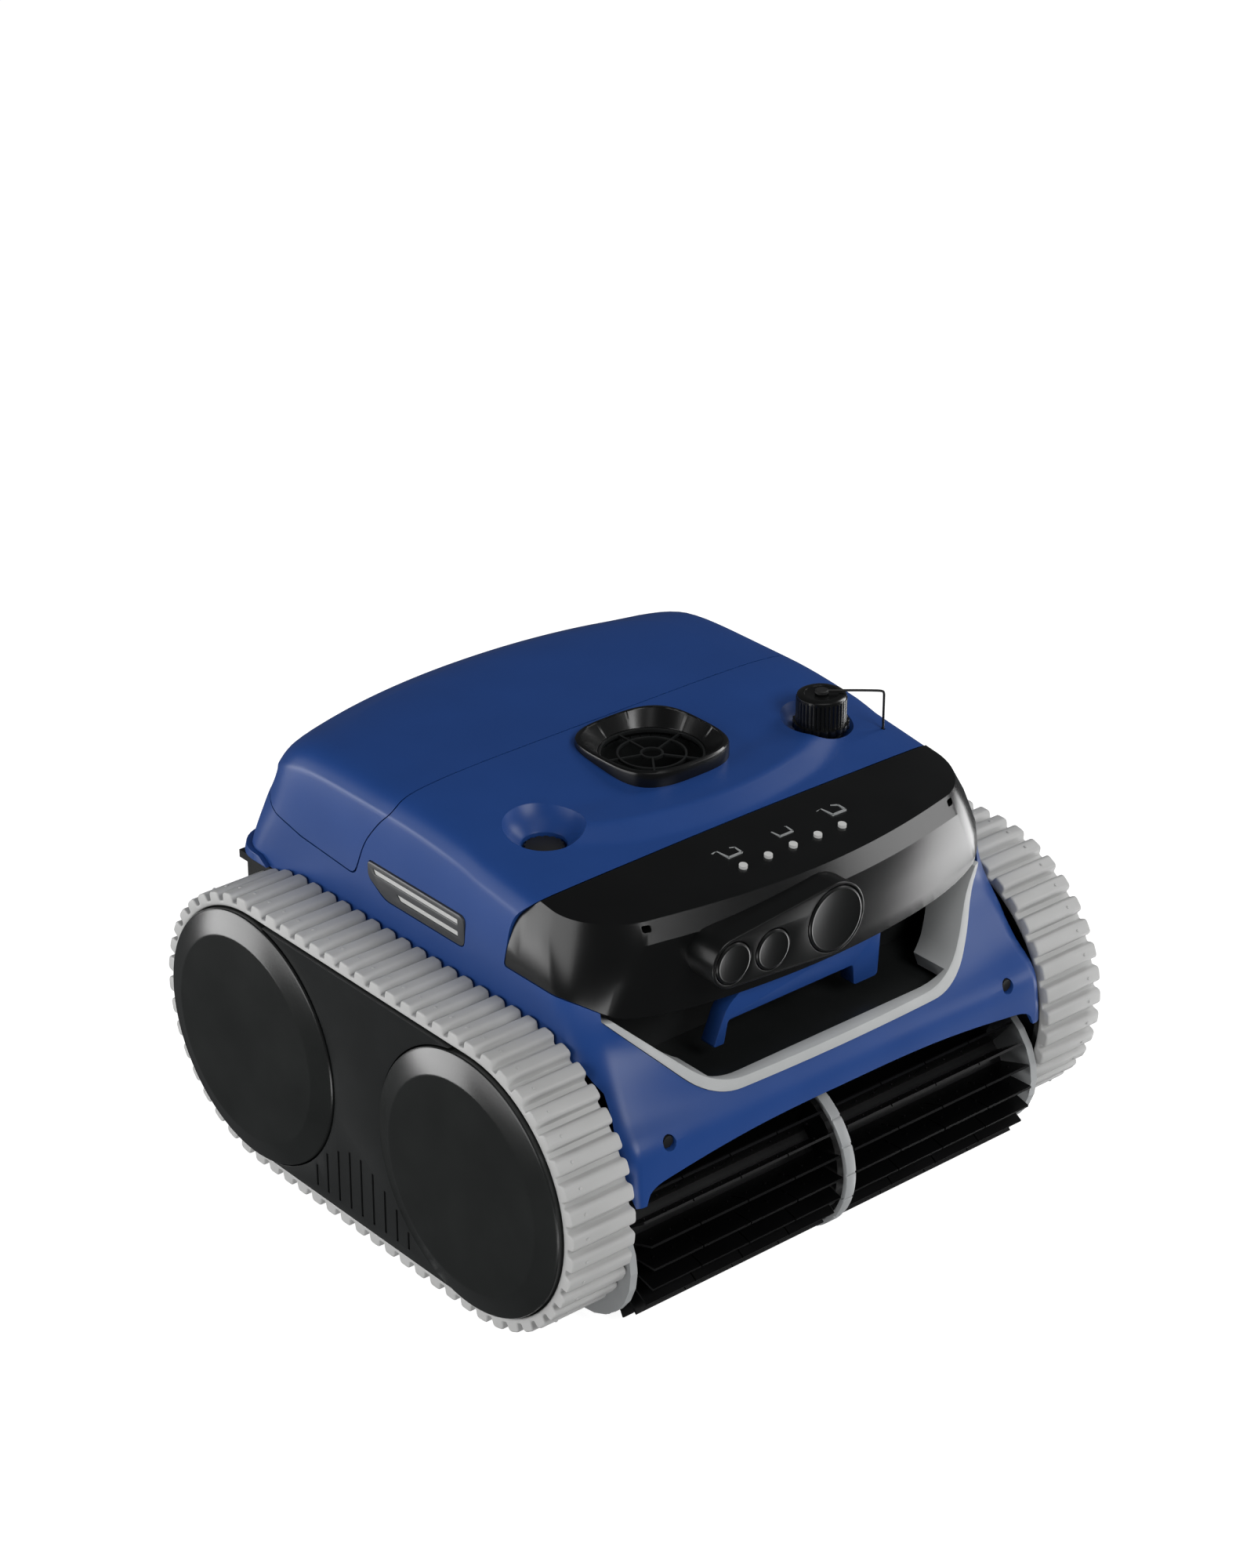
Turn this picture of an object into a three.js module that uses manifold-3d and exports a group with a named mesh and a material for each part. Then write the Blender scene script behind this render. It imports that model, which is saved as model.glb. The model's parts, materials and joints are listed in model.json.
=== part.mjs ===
// A cordless pool-cleaning robot, in millimetres, +Z up, front towards -Y, standing on its two track belts at z = 0.
// Parts that come in pairs are made once for the +X side and mirrored.
import * as THREE from "three";
import { mergeVertices } from "three/addons/utils/BufferGeometryUtils.js";
import Module from "manifold-3d";

const wasm = await Module();
wasm.setup();

// ---------- driving dimensions ----------
const GAP = 0.3; // between pieces that touch
const FINENESS = 0.08; // edges whose loss moves the surface less than this are dropped
const AXLE_SPREAD = 202.4; // front axle to rear axle
const TRACK_RADIUS = 88.25; // axle to lug tips
const LUG_HEIGHT = 5.35;
const BELT_WALL = 3.15;
const LUG_COUNT = 66;
const SHELL_HALF = 157.6; // half width of the shell at its foot
const TRACK_CLEARANCE = 0.6; // shell to belt
const TRACK_WIDTH = 44;
const WHEEL_CLEARANCE = 0.75; // wheel rim to belt
const RIM_WALL = 3.7;
const FACE_OFFSET = 7.3; // wheel face beyond the belt's outer edge
const FACE_RADIUS = 64.5; // flat part of the wheel's face
const AXLE_RADIUS = 6;
const RUNNING = 0.4; // radial clearance of a turning shaft
const WHEEL_GEAR_RADIUS = 40; // pitch radius
const WHEEL_TEETH = 30;
const BRUSH_TEETH = 12;
const PINION_TEETH = 9;
const GEAR_FACE = 10;
const BRUSH_RADIUS = 48.75;
const BRUSH_CORE = 24.5;
const BRUSH_FINS = 22;
const FIN_THICKNESS = 1.6;
const SUPPORT_HALF = 3.5; // half thickness of the support between two brush halves
const FIN_CLEARANCE = 1.9; // support to fins
const BRUSH_CLEARANCE = 4.6; // brush to tray or shell round it
const SHELL_WALL = 3;
const BEZEL_WALL = 4;
const SHELL_TOP = 258;
const SHELL_REAR = 185.5;
const TRAY_SETBACK = 5.6; // tray's side inside the shell's
const TRAY_WALL = 3;
const TRAY_FLOOR = 20;
const TRAY_RIM = 166;
const SEAM_Y = 27.5; // front edge of the lid
const SEAM_GAP = 0.6;
const LID_HINGE = [185.2, 205]; // y, z
const KNUCKLE_RADIUS = 5;
const LID_PIN_RADIUS = 2.2;
const OUTLET_Y = -17;
const OUTLET_HALF = 43.5; // half width of the outlet ring's flange
const OUTLET_BORE = 31;
const DISH_SETBACK = 53.6; // dish's centre inside the shell's side
const DISH_Y = -47;
const DISH_RADIUS = 24.5;
const DISH_HOLE = 13;
const DISH_TOP = 254;
const DISH_DEPTH = 10;
const CAP_RADIUS = 15;
const CAP_TOP = 268.6;
const BAR_BOTTOM = 180; // underside of the handle bar
const GRIP_FLOOR = 133; // bottom edge of the opening in the fascia
const GRIP_SETBACK = 15.6; // opening's upper corner inside the shell's side
const GRIP_TAPER = 49; // how much further in its lower corner is
const TRIM_WIDTH = 6;
const TRIM_DEPTH = 12;
const POD_FACE = -176;
const BUTTON_TRAVEL = 1.2;
const BUTTON_DEPTH = 5; // of a button, its face included
const BUTTON_PROUD = 0.8;
const BUTTONS = [
  { name: "mode_button", x: -78.6, z: 212.3, r: 12.2 },
  { name: "timer_button", x: -50, z: 210.5, r: 12 },
  { name: "power_button", x: -3.8, z: 212.6, r: 19.6 },
];
const POD_ENDS = [
  { x: -78.6, z: 212.3, r: 15 },
  { x: -3.8, z: 212.6, r: 22 },
];
const LIGHT_BOX = { y0: -40, y1: 48, z0: 191, z1: 210 };
const SCREW = { setback: 28.6, z: 122.5, head: 3.6, shank: 2 };
const BASKET_SETBACK = 45.6; // filter basket's side inside the shell's

// ---------- sizes that follow ----------
const AXLE_Y = AXLE_SPREAD / 2;
const BELT_OUTER = TRACK_RADIUS - LUG_HEIGHT;
const BELT_INNER = BELT_OUTER - BELT_WALL;
const TRACK_INNER = SHELL_HALF + TRACK_CLEARANCE; // from the middle plane
const TRACK_OUTER = TRACK_INNER + TRACK_WIDTH;
const TRAY_HALF = SHELL_HALF - TRAY_SETBACK;
const BRUSH_START = SUPPORT_HALF + FIN_CLEARANCE;
const BRUSH_END = TRAY_HALF - 6.4;
const DISH_X = SHELL_HALF - DISH_SETBACK;
const GRIP_HIGH_HALF = SHELL_HALF - GRIP_SETBACK;
const GRIP_LOW_HALF = GRIP_HIGH_HALF - GRIP_TAPER;
const SCREW_X = SHELL_HALF - SCREW.setback;
const BASKET_HALF = SHELL_HALF - BASKET_SETBACK;
const WHEEL_RADIUS = BELT_INNER - WHEEL_CLEARANCE;
const WHEEL_INNER = TRACK_INNER + 1.8;
const MODULE = (2 * WHEEL_GEAR_RADIUS) / WHEEL_TEETH;
const GEAR_X = WHEEL_INNER + 1;
const BRUSH_REACH = (MODULE * (WHEEL_TEETH + BRUSH_TEETH)) / 2; // axle to brush shaft
const BRUSH_ANGLE = Math.atan2(-39.0, 40.2);
const BRUSH_Y = AXLE_Y + BRUSH_REACH * Math.cos(BRUSH_ANGLE);
const BRUSH_Z = TRACK_RADIUS + BRUSH_REACH * Math.sin(BRUSH_ANGLE);
const ARCH_RADIUS = BRUSH_RADIUS + BRUSH_CLEARANCE + 2; // of the tray round a brush
const archTop = BRUSH_Z + ARCH_RADIUS;
const PINION_REACH = (MODULE * (WHEEL_TEETH + PINION_TEETH)) / 2;
const PINION_ANGLE = (207.5 * Math.PI) / 180; // from the rear axle, in the Y-Z plane
const PINION_Y = AXLE_Y + PINION_REACH * Math.cos(PINION_ANGLE);
const PINION_Z = TRACK_RADIUS + PINION_REACH * Math.sin(PINION_ANGLE);

// ---------- materials ----------
const finish = (color, roughness, metalness = 0) =>
  new THREE.MeshStandardMaterial({ color, roughness, metalness });
const blue = finish(0x1d3f86, 0.38);
const glossBlack = finish(0x0b0c0d, 0.15);
const satinBlack = finish(0x17191a, 0.5);
const greyRubber = finish(0xa3a5a7, 0.75);
const blackRubber = finish(0x101112, 0.8);
const greyPlastic = finish(0x8c9194, 0.45);
const whiteLens = finish(0xe9eef0, 0.3);
const clearGrey = finish(0x5c6468, 0.3);
const steel = finish(0xb9bcc0, 0.3, 0.9);
const green = finish(0x1f5a3a, 0.6);

// ---------- solids ----------
function toSolid(geometry) {
  const bare = new THREE.BufferGeometry();
  bare.setAttribute("position", geometry.getAttribute("position").clone());
  if (geometry.index) bare.setIndex(geometry.index.clone());
  const merged = mergeVertices(bare.index ? bare.toNonIndexed() : bare, 1e-3);
  const triVerts = new Uint32Array(merged.index.array);
  const vertProperties = merged.attributes.position.array;
  let volume = 0;
  for (let i = 0; i < triVerts.length; i += 3) {
    const [a, b, c] = [0, 1, 2].map((k) =>
      new THREE.Vector3().fromArray(vertProperties, 3 * triVerts[i + k]),
    );
    volume += a.dot(b.cross(c));
  }
  if (volume < 0)
    for (let i = 0; i < triVerts.length; i += 3)
      [triVerts[i + 1], triVerts[i + 2]] = [triVerts[i + 2], triVerts[i + 1]];
  return new wasm.Manifold(new wasm.Mesh({ numProp: 3, vertProperties, triVerts }));
}

function toGeometry(solid) {
  const { vertProperties, triVerts } = solid.asOriginal().simplify(FINENESS).getMesh();
  const geometry = new THREE.BufferGeometry();
  geometry.setAttribute("position", new THREE.BufferAttribute(vertProperties, 3));
  geometry.setIndex(new THREE.BufferAttribute(triVerts, 1));
  return geometry;
}

const join = (...solids) => solids.reduce((a, b) => a.add(b));
const cut = (solid, ...tools) => tools.reduce((a, b) => a.subtract(b), solid);
const common = (...solids) => solids.reduce((a, b) => a.intersect(b));

// An outline of [u, v] points; a third number rounds that corner with that radius.
function shapeOf(points) {
  const shape = new THREE.Shape();
  const n = points.length;
  points.forEach(([u, v, radius = 0], i) => {
    const corner = new THREE.Vector2(u, v);
    const towards = (j) => {
      const other = new THREE.Vector2(points[(j + n) % n][0], points[(j + n) % n][1]);
      const step = other.sub(corner);
      return corner.clone().add(step.setLength(Math.min(radius, step.length() / 2)));
    };
    const [from, to] = radius ? [towards(i - 1), towards(i + 1)] : [corner, corner];
    if (i === 0) shape.moveTo(from.x, from.y);
    else shape.lineTo(from.x, from.y);
    if (radius) shape.quadraticCurveTo(u, v, to.x, to.y);
  });
  return shape;
}

// Outline in Y-Z, X-Z or X-Y, extruded along the third axis.
const BASES = {
  x: [[0, 1, 0], [0, 0, 1], [1, 0, 0]],
  y: [[1, 0, 0], [0, 0, 1], [0, -1, 0]],
  z: [[1, 0, 0], [0, 1, 0], [0, 0, 1]],
};
function slab(axis, outline, low, high, curveSegments = 4) {
  const shape = outline instanceof THREE.Shape ? outline : shapeOf(outline);
  const geometry = new THREE.ExtrudeGeometry(shape, {
    depth: high - low,
    bevelEnabled: false,
    curveSegments,
  });
  geometry.translate(0, 0, axis === "y" ? -high : low);
  const basis = BASES[axis].map((v) => new THREE.Vector3(...v));
  geometry.applyMatrix4(new THREE.Matrix4().makeBasis(...basis));
  return toSolid(geometry);
}
const block = (x0, x1, y0, y1, z0, z1) =>
  slab("z", [[x0, y0], [x1, y0], [x1, y1], [x0, y1]], z0, z1);

// A closed profile of [radius, height] turned round the axis through `centre`.
function turned(axis, profile, centre = [0, 0, 0], segments = 22) {
  const points = profile.map(([r, h]) => new THREE.Vector2(r, h));
  if (profile[0][0] > 0 || profile.at(-1)[0] > 0) points.push(points[0].clone());
  const geometry = new THREE.LatheGeometry(points, segments);
  if (axis === "x") geometry.rotateZ(-Math.PI / 2);
  if (axis === "z") geometry.rotateX(Math.PI / 2);
  geometry.translate(...centre);
  return toSolid(geometry);
}
const rod = (axis, radius, low, high, centre, segments = 14) =>
  turned(axis, [[0, low], [radius, low], [radius, high], [0, high]], centre, segments);
const tube = (axis, inner, outer, low, high, centre, segments = 20) =>
  turned(axis, [[inner, low], [outer, low], [outer, high], [inner, high]], centre, segments);

// Rings of equal length joined in order, each end closed on its own centre.
function loft(rings) {
  const count = rings[0].length;
  const points = rings.flat();
  const faces = [];
  for (let r = 0; r + 1 < rings.length; r++)
    for (let i = 0; i < count; i++) {
      const [a, b] = [r * count + i, r * count + ((i + 1) % count)];
      faces.push(a, b, b + count, a, b + count, a + count);
    }
  const close = (ring, reverse) => {
    const centre = points.push(
      rings[ring].reduce((s, p) => s.map((v, k) => v + p[k] / count), [0, 0, 0]),
    ) - 1;
    for (let i = 0; i < count; i++) {
      const [a, b] = [ring * count + i, ring * count + ((i + 1) % count)];
      faces.push(...(reverse ? [centre, b, a] : [centre, a, b]));
    }
  };
  close(0, true);
  close(rings.length - 1, false);
  const geometry = new THREE.BufferGeometry();
  geometry.setAttribute("position", new THREE.Float32BufferAttribute(points.flat(), 3));
  geometry.setIndex(faces);
  return toSolid(geometry);
}

// A spur gear's outline in the Y-Z plane, one tooth centred on `phase`.
function gear(teeth, phase, x0, x1, centre) {
  const pitch = (MODULE * teeth) / 2;
  const step = (2 * Math.PI) / teeth;
  const [root, tip] = [pitch - 1.1 * MODULE, pitch + 0.7 * MODULE];
  const steps = [[root, -0.3], [tip, -0.12], [tip, 0.12], [root, 0.3]]; // radius, share of the tooth pitch
  const outline = [];
  for (let i = 0; i < teeth; i++)
    for (const [r, share] of steps) {
      const angle = phase + (i + share) * step;
      outline.push([centre[1] + r * Math.cos(angle), centre[2] + r * Math.sin(angle)]);
    }
  return slab("x", outline, x0, x1);
}

// ---------- the collection ----------
const robot = new THREE.Group();
function place(name, solid, material, parent = robot) {
  const mesh = new THREE.Mesh(toGeometry(solid), material);
  mesh.name = name;
  parent.add(mesh);
}
const mirrored = new THREE.Group();
mirrored.scale.x = -1;
robot.add(mirrored);
// The +X side is the robot's left when it drives forwards.
function pair(name, solid, material) {
  place("left_" + name, solid, material);
  place("right_" + name, solid, material, mirrored);
}

// ---------- body form ----------
// Levels of the body, from the foot up: z, half width, front reach at the middle, how far the front and the
// rear fall back at the sides, and how round the plan's corners are as a share of the half width.
const LEVELS = [
  [88, SHELL_HALF, 188, 1.5, 10, 0.05],
  [105, SHELL_HALF, 187, 2, 10, 0.05],
  [122.5, SHELL_HALF, 185.5, 4, 10, 0.06],
  [137, SHELL_HALF, 177.5, 10, 10, 0.08],
  [155, SHELL_HALF, 170.5, 17, 10, 0.1],
  [172, SHELL_HALF - 0.3, 164.6, 24, 10, 0.12],
  [188, SHELL_HALF - 1.4, 164, 26.5, 13, 0.15],
  [205, SHELL_HALF - 2.6, 166, 27, 17, 0.18],
];
const TOP_EDGE = [SHELL_HALF - 6.6, 166, 27, 26, 0.24];
const SHOULDER = [
  [1, 8],
  [0.962, 2.2],
  [0.9, 0.4],
  [0.78, 0],
  [0.55, 0],
  [0.3, 0],
];

// A rounded square, both half widths 1, as points in order round it.
function roundedUnit(rounding) {
  const straight = 1 - rounding;
  const arc = (degrees) => {
    const angle = (degrees * Math.PI) / 180;
    return [straight + rounding * Math.cos(angle), straight + rounding * Math.sin(angle)];
  };
  const quarter = [
    [1, straight / 2], [1, straight], arc(30), arc(60), [straight, 1], [straight * 0.68, 1], [straight * 0.36, 1],
  ];
  const turn = (su, sv, back) => (back ? quarter.toReversed() : quarter).map(([u, v]) => [su * u, sv * v]);
  return [
    [1, 0], ...turn(1, 1), [0, 1], ...turn(-1, 1, true), [-1, 0], ...turn(-1, -1), [0, -1], ...turn(1, -1, true),
  ];
}
function planPoint([u, v], half, front, frontFall, rearFall) {
  return [half * u, v > 0 ? v * (SHELL_REAR - rearFall * u * u) : v * (front - frontFall * u * u)];
}
function crownHeight(u, v) {
  const ahead = Math.max(0, 30 - (v < 0 ? v * 166 : v * SHELL_REAR));
  const behind = Math.max(0, v * SHELL_REAR - 40) / 145;
  const front = Math.hypot(0.125 * ahead, 6) - 6;
  return SHELL_TOP - front - 34 * behind ** 6 - 5 * Math.abs(u) ** 6;
}
// The body's outside, taken in by `inset`; a negative inset stands proud.
function bodyForm(inset, foot = 0) {
  const hidden = inset > 0; // the inside needs fewer rings
  const levels = hidden ? LEVELS.filter((_, i) => i % 2 === 0 || i === 3 || i === 7) : LEVELS;
  const shoulder = hidden ? SHOULDER.slice(0, 4) : SHOULDER;
  const ring = (plan, height) =>
    roundedUnit(plan.at(-1)).map(([u, v]) => {
      const [x, y] = planPoint([u, v], ...plan);
      // taken in square to whichever wall is nearer, and to both at a corner
      const [sideways, lengthways] = [Math.abs(u) ** 6, Math.abs(v) ** 6];
      return [x - inset * Math.sign(u) * sideways, y - inset * Math.sign(v) * lengthways, height(u, v)];
    });
  const rings = levels.map(([z, ...plan], i) => ring(plan, () => (i === 0 ? z - foot : z)));
  const edge = (u, v) => crownHeight(u, v) - SHOULDER[0][1];
  const [half, front, ...rest] = TOP_EDGE;
  rings.push(ring([half + 1.6, front + 2, ...rest], (u, v) => Math.max(edge(u, v) - 5, 206) - inset * 0.4));
  const rim = ring(TOP_EDGE, () => 0);
  const unit = roundedUnit(TOP_EDGE.at(-1));
  for (const [share, drop] of shoulder)
    rings.push(
      unit.map(([u, v], i) => {
        const [x, y] = rim[i];
        return [x * share, y * share, crownHeight(u * share, v * share) - drop - inset];
      }),
    );
  return loft(rings);
}

const outer = bodyForm(0);
const inner = bodyForm(SHELL_WALL, 20);
const wall = cut(outer, inner);

// ---------- cutters that share the body out between shell, lid and bezel ----------
const FAR = 300;
// Foot of the shell along the tracks, rear to front, y and z.
const shellFoot = [
  [190, 167], [98.9, 167.7], [23.9, 171.5], [-19, 171.6], [-61, 169.7], [-116, 166], [-142, 159.6],
  [-155, 150], [-168, 131.5], [-178, 111.5], [-184.5, 92], [-FAR, 92], [-FAR, 0], [190, 0],
];
const archHalf = [[150, 60], [148, 92], [144.5, 101.5], [90, 109], [45, 112]].map(([x, z]) => [
  x + SHELL_HALF - 157.6, z,
]);
const brushArch = [...archHalf.map(([x, z]) => [-x, z]), ...archHalf.toReversed()];
const lidSide = (d) => [
  [SEAM_Y + d, FAR], [SEAM_Y + d, 247], [39 + d, 237], [52.7 + d, 219], [61 + d, 195.5 + d],
  [113, 199 + d], [137, 203.5 + d], [157, 209 + d], [230, 213 + d], [230, FAR],
];
const bezelSide = (d) => [
  [-75 + d, 195.5 - d], [-136, 195.5 - d], [-150, BAR_BOTTOM - d], [-260, BAR_BOTTOM - d], [-260, 262 + d],
  [-99 + d, 262 + d], [-99 + d, 244], [-79 + d, 228],
];
const gripOutline = (d) => [
  [-GRIP_LOW_HALF + d, GRIP_FLOOR + d, 16], [GRIP_LOW_HALF - d, GRIP_FLOOR + d, 16],
  [GRIP_HIGH_HALF - d, BAR_BOTTOM + 4], [GRIP_HIGH_HALF - d, BAR_BOTTOM + 12],
  [-GRIP_HIGH_HALF + d, BAR_BOTTOM + 12], [-GRIP_HIGH_HALF + d, BAR_BOTTOM + 4],
];
const lidRegion = slab("x", lidSide(SEAM_GAP / 2), -FAR, FAR);
const lidRoom = slab("x", lidSide(-SEAM_GAP / 2), -FAR, FAR);
const bezelRegion = slab("x", bezelSide(-GAP / 2), -FAR, FAR);
const bezelRoom = slab("x", bezelSide(GAP / 2), -FAR, FAR);
const lightOutline = (d) => {
  const { y0, y1, z0, z1 } = LIGHT_BOX;
  return [
    [y0 - d, z0 - d, 4], [y1 - 16, z0 - d, 4], [y1 + d, z0 + 9, 2], [y1 + d, z1 + d, 2], [y0 - d, z1 + d, 4],
  ];
};

// ---------- top shell ----------
const dish = (x) => {
  const floor = DISH_TOP - DISH_DEPTH;
  const cup = turned("z", [[0, 236], [DISH_HOLE + 3, 236], [DISH_RADIUS + 3, 252], [0, 252]], [x, DISH_Y, 0]);
  const hollow = turned(
    "z",
    [[0, 230], [DISH_HOLE, 230], [DISH_HOLE, floor], [DISH_RADIUS, DISH_TOP], [DISH_RADIUS, 270], [0, 270]],
    [x, DISH_Y, 0],
  );
  return { cup, hollow };
};
const dishes = [dish(DISH_X), dish(-DISH_X)];
const roundedSquare = (half, corner) => [
  [-half, OUTLET_Y - half, corner], [half, OUTLET_Y - half, corner],
  [half, OUTLET_Y + half, corner], [-half, OUTLET_Y + half, corner],
];
const NECK_RADIUS = OUTLET_BORE + 4;
const screwAt = (s) => [s * SCREW_X, 0, SCREW.z];
const screwBosses = [1, -1].map((s) => rod("y", 6.5, -181, -169, screwAt(s)));
const screwHoles = [1, -1].map((s) =>
  join(rod("y", SCREW.head + RUNNING, -200, -178, screwAt(s)), rod("y", SCREW.shank + RUNNING, -190, -160, screwAt(s))),
);
const LUG_OUTER = { x0: 60.3, x1: 74 };
const LUG_INNER = { x0: 44, x1: 60 };
const PIN_END = LUG_OUTER.x1 + 2;
const knuckle = (x0, x1) => rod("x", KNUCKLE_RADIUS, x0, x1, [0, ...LID_HINGE]);
const shellLug = (x0, x1) =>
  join(knuckle(x0, x1), slab("x", [[174, 186], [180, 186], [188, 203], [174, 203]], x0, x1));
const lidLug = (x0, x1) =>
  join(knuckle(x0, x1), slab("x", [[176, 219], [182, 222], [188.5, 208.5], [183.5, 208]], x0, x1));
const hingeNotch = (x0, x1) =>
  join(
    rod("x", KNUCKLE_RADIUS + 0.7, x0, x1, [0, ...LID_HINGE]),
    slab("x", [[178, 206], [192, 206], [192, 214], [178, 214]], x0, x1),
  );
const pinHole = (r) => rod("x", r, -PIN_END, PIN_END, [0, ...LID_HINGE]);
const mirrorPair = (make, x0, x1) => [make(x0, x1), make(-x1, -x0)];

const shellBlank = cut(
  join(wall, ...dishes.map((d) => common(d.cup, outer)), ...screwBosses.map((b) => common(b, outer))),
  slab("x", shellFoot, -FAR, FAR),
  slab("y", brushArch, -FAR, -120),
);
const lightHoles = [
  slab("x", lightOutline(GAP), SHELL_HALF - 18, SHELL_HALF + 20),
  slab("x", lightOutline(GAP), -SHELL_HALF - 20, 18 - SHELL_HALF),
];
const LIP_HALF = BASKET_HALF + 6;
const LIP_Z = SHELL_TOP - 10;
const tetherFoot = [DISH_X + 29, DISH_Y - 22];
place(
  "top_shell",
  cut(
    join(
      cut(
        shellBlank,
        lidRoom,
        bezelRoom,
        slab("y", gripOutline(0), -FAR, -130),
        ...dishes.map((d) => d.hollow),
        ...screwHoles,
        ...lightHoles,
        rod("z", NECK_RADIUS + GAP, 230, 270, [0, OUTLET_Y, 0], 28),
        rod("z", 1.4, 230, 270, [...tetherFoot, 0], 12),
        ...mirrorPair(hingeNotch, LUG_INNER.x0 - 0.6, LUG_OUTER.x0),
      ),
      ...mirrorPair(shellLug, LUG_OUTER.x0, LUG_OUTER.x1),
      // a lip under the lid's front edge
      common(block(-LIP_HALF, LIP_HALF, SEAM_Y - 7.5, SEAM_Y - 0.4, LIP_Z, FAR), bodyForm(SHELL_WALL - 0.6)),
      common(block(-LIP_HALF, LIP_HALF, SEAM_Y - 1, SEAM_Y + 6, LIP_Z, FAR), bodyForm(SHELL_WALL + 0.5)),
    ),
    pinHole(LID_PIN_RADIUS + RUNNING),
    rod("z", NECK_RADIUS + GAP, 230, 270, [0, OUTLET_Y, 0], 28),
  ),
  blue,
);

// ---------- filter lid ----------
const BASKET = { y0: SEAM_Y + 8.5, y1: SEAM_Y + 110.5, z0: archTop + TRAY_WALL + 6.4, z1: SHELL_TOP - 24.4, wall: 2 };
const SEAL = { z0: BASKET.z1 + 0.4, z1: BASKET.z1 + 4.4 };
const skirt = cut(
  common(
    block(-BASKET_HALF, BASKET_HALF, BASKET.y0, BASKET.y1, SEAL.z1 + GAP, FAR),
    bodyForm(SHELL_WALL - 0.5),
  ),
  block(3 - BASKET_HALF, BASKET_HALF - 3, BASKET.y0 + 3, BASKET.y1 - 3, 0, FAR),
);
place(
  "lid",
  cut(join(common(wall, lidRegion), skirt, ...mirrorPair(lidLug, LUG_INNER.x0, LUG_INNER.x1)), pinHole(LID_PIN_RADIUS + RUNNING)),
  blue,
);
place(
  "lid_seal",
  cut(
    block(-BASKET_HALF - 1, BASKET_HALF + 1, BASKET.y0 - 1, BASKET.y1 + 1, SEAL.z0, SEAL.z1),
    block(4 - BASKET_HALF, BASKET_HALF - 4, BASKET.y0 + 4, BASKET.y1 - 4, 0, FAR),
  ),
  blackRubber,
);
place("lid_hinge_pin", rod("x", LID_PIN_RADIUS, -PIN_END, PIN_END, [0, ...LID_HINGE], 16), steel);

// ---------- front bezel, which is the carrying handle ----------
const bezelSkin = cut(outer, bodyForm(BEZEL_WALL, 20));
const barFloor = common(
  outer,
  block(8 - SHELL_HALF, SHELL_HALF - 8, -FAR, -128, BAR_BOTTOM, BAR_BOTTOM + 8),
);
const pinXs = [-37, -18.5, 0, 18.5, 37];
const LED_Y = -136.8;
const lightPins = pinXs.map((x) => rod("z", 2.5, 232, 262, [x, LED_Y, 0], 12));
place(
  "front_bezel",
  cut(
    common(join(bezelSkin, barFloor), bezelRegion),
    ...pinXs.map((x) => rod("z", 2.8, 220, 262, [x, LED_Y, 0], 12)),
  ),
  glossBlack,
);
const underSkin = bodyForm(BEZEL_WALL + GAP, 20);
const guidePlate = common(
  cut(underSkin, bodyForm(BEZEL_WALL + GAP + 2, 30)),
  block(-45, 45, -146, -116, 225, 262),
);
place(
  "light_guide",
  join(guidePlate, ...lightPins.map((p) => cut(common(p, outer), bodyForm(BEZEL_WALL + GAP + 1.5, 30)))),
  whiteLens,
);

// ---------- button pod and its buttons ----------
const podHull = (d) => {
  // the outline of the two end circles, one larger than the other, joined by their common tangents
  const [a, b] = POD_ENDS;
  const span = Math.hypot(b.x - a.x, b.z - a.z);
  const lean = Math.atan2(b.z - a.z, b.x - a.x);
  const tilt = Math.acos((a.r - b.r) / span);
  const arc = (end, from, to) =>
    Array.from({ length: 10 }, (_, i) => {
      const angle = lean + from + ((to - from) * i) / 9;
      return [end.x + (end.r - d) * Math.cos(angle), end.z + (end.r - d) * Math.sin(angle)];
    });
  return [...arc(b, -tilt, tilt), ...arc(a, tilt, 2 * Math.PI - tilt)];
};
const proud = bodyForm(-GAP);
place(
  "button_pod",
  cut(
    slab("y", podHull(0), POD_FACE, -140),
    proud,
    ...BUTTONS.map(({ x, z, r }) => rod("y", r + RUNNING, POD_FACE - 5, POD_FACE + BUTTON_DEPTH - BUTTON_PROUD + BUTTON_TRAVEL + 1, [x, 0, z], 20)),
  ),
  glossBlack,
);
for (const { name, x, z, r } of BUTTONS)
  place(
    name,
    turned(
      "y",
      [[0, POD_FACE - BUTTON_PROUD], [r - 0.8, POD_FACE - BUTTON_PROUD], [r, POD_FACE], [r, POD_FACE + BUTTON_DEPTH - BUTTON_PROUD], [0, POD_FACE + BUTTON_DEPTH - BUTTON_PROUD]],
      [x, 0, z],
      20,
    ),
    glossBlack,
  );

// ---------- hand grip: trim, insert and liner ----------
const trimBand = cut(bodyForm(-0.8, 5), bodyForm(TRIM_DEPTH, 25));
place(
  "handle_trim",
  cut(
    common(trimBand, cut(slab("y", gripOutline(GAP), -FAR, -131), slab("y", gripOutline(TRIM_WIDTH), -FAR, -100))),
    slab("x", bezelSide(GAP), -FAR, FAR),
    block(-FAR, FAR, -FAR, FAR, BAR_BOTTOM + 3.4, FAR),
  ),
  greyPlastic,
);
const LINER = { half: GRIP_HIGH_HALF - 1, back: -112, floor: 131, wall: 3 }; // the pocket, moulded with the tray
const gripPocket = common(
  bodyForm(TRIM_DEPTH + 1.5, 25),
  cut(
    block(-LINER.half, LINER.half, -FAR, LINER.back, LINER.floor, BAR_BOTTOM - GAP),
    block(
      LINER.wall - LINER.half, LINER.half - LINER.wall, -FAR, LINER.back - LINER.wall,
      LINER.floor + LINER.wall, FAR,
    ),
  ),
);
const INSERT = { half: 57, y0: -144, y1: -136, top: 164, bar: 8 };
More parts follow.
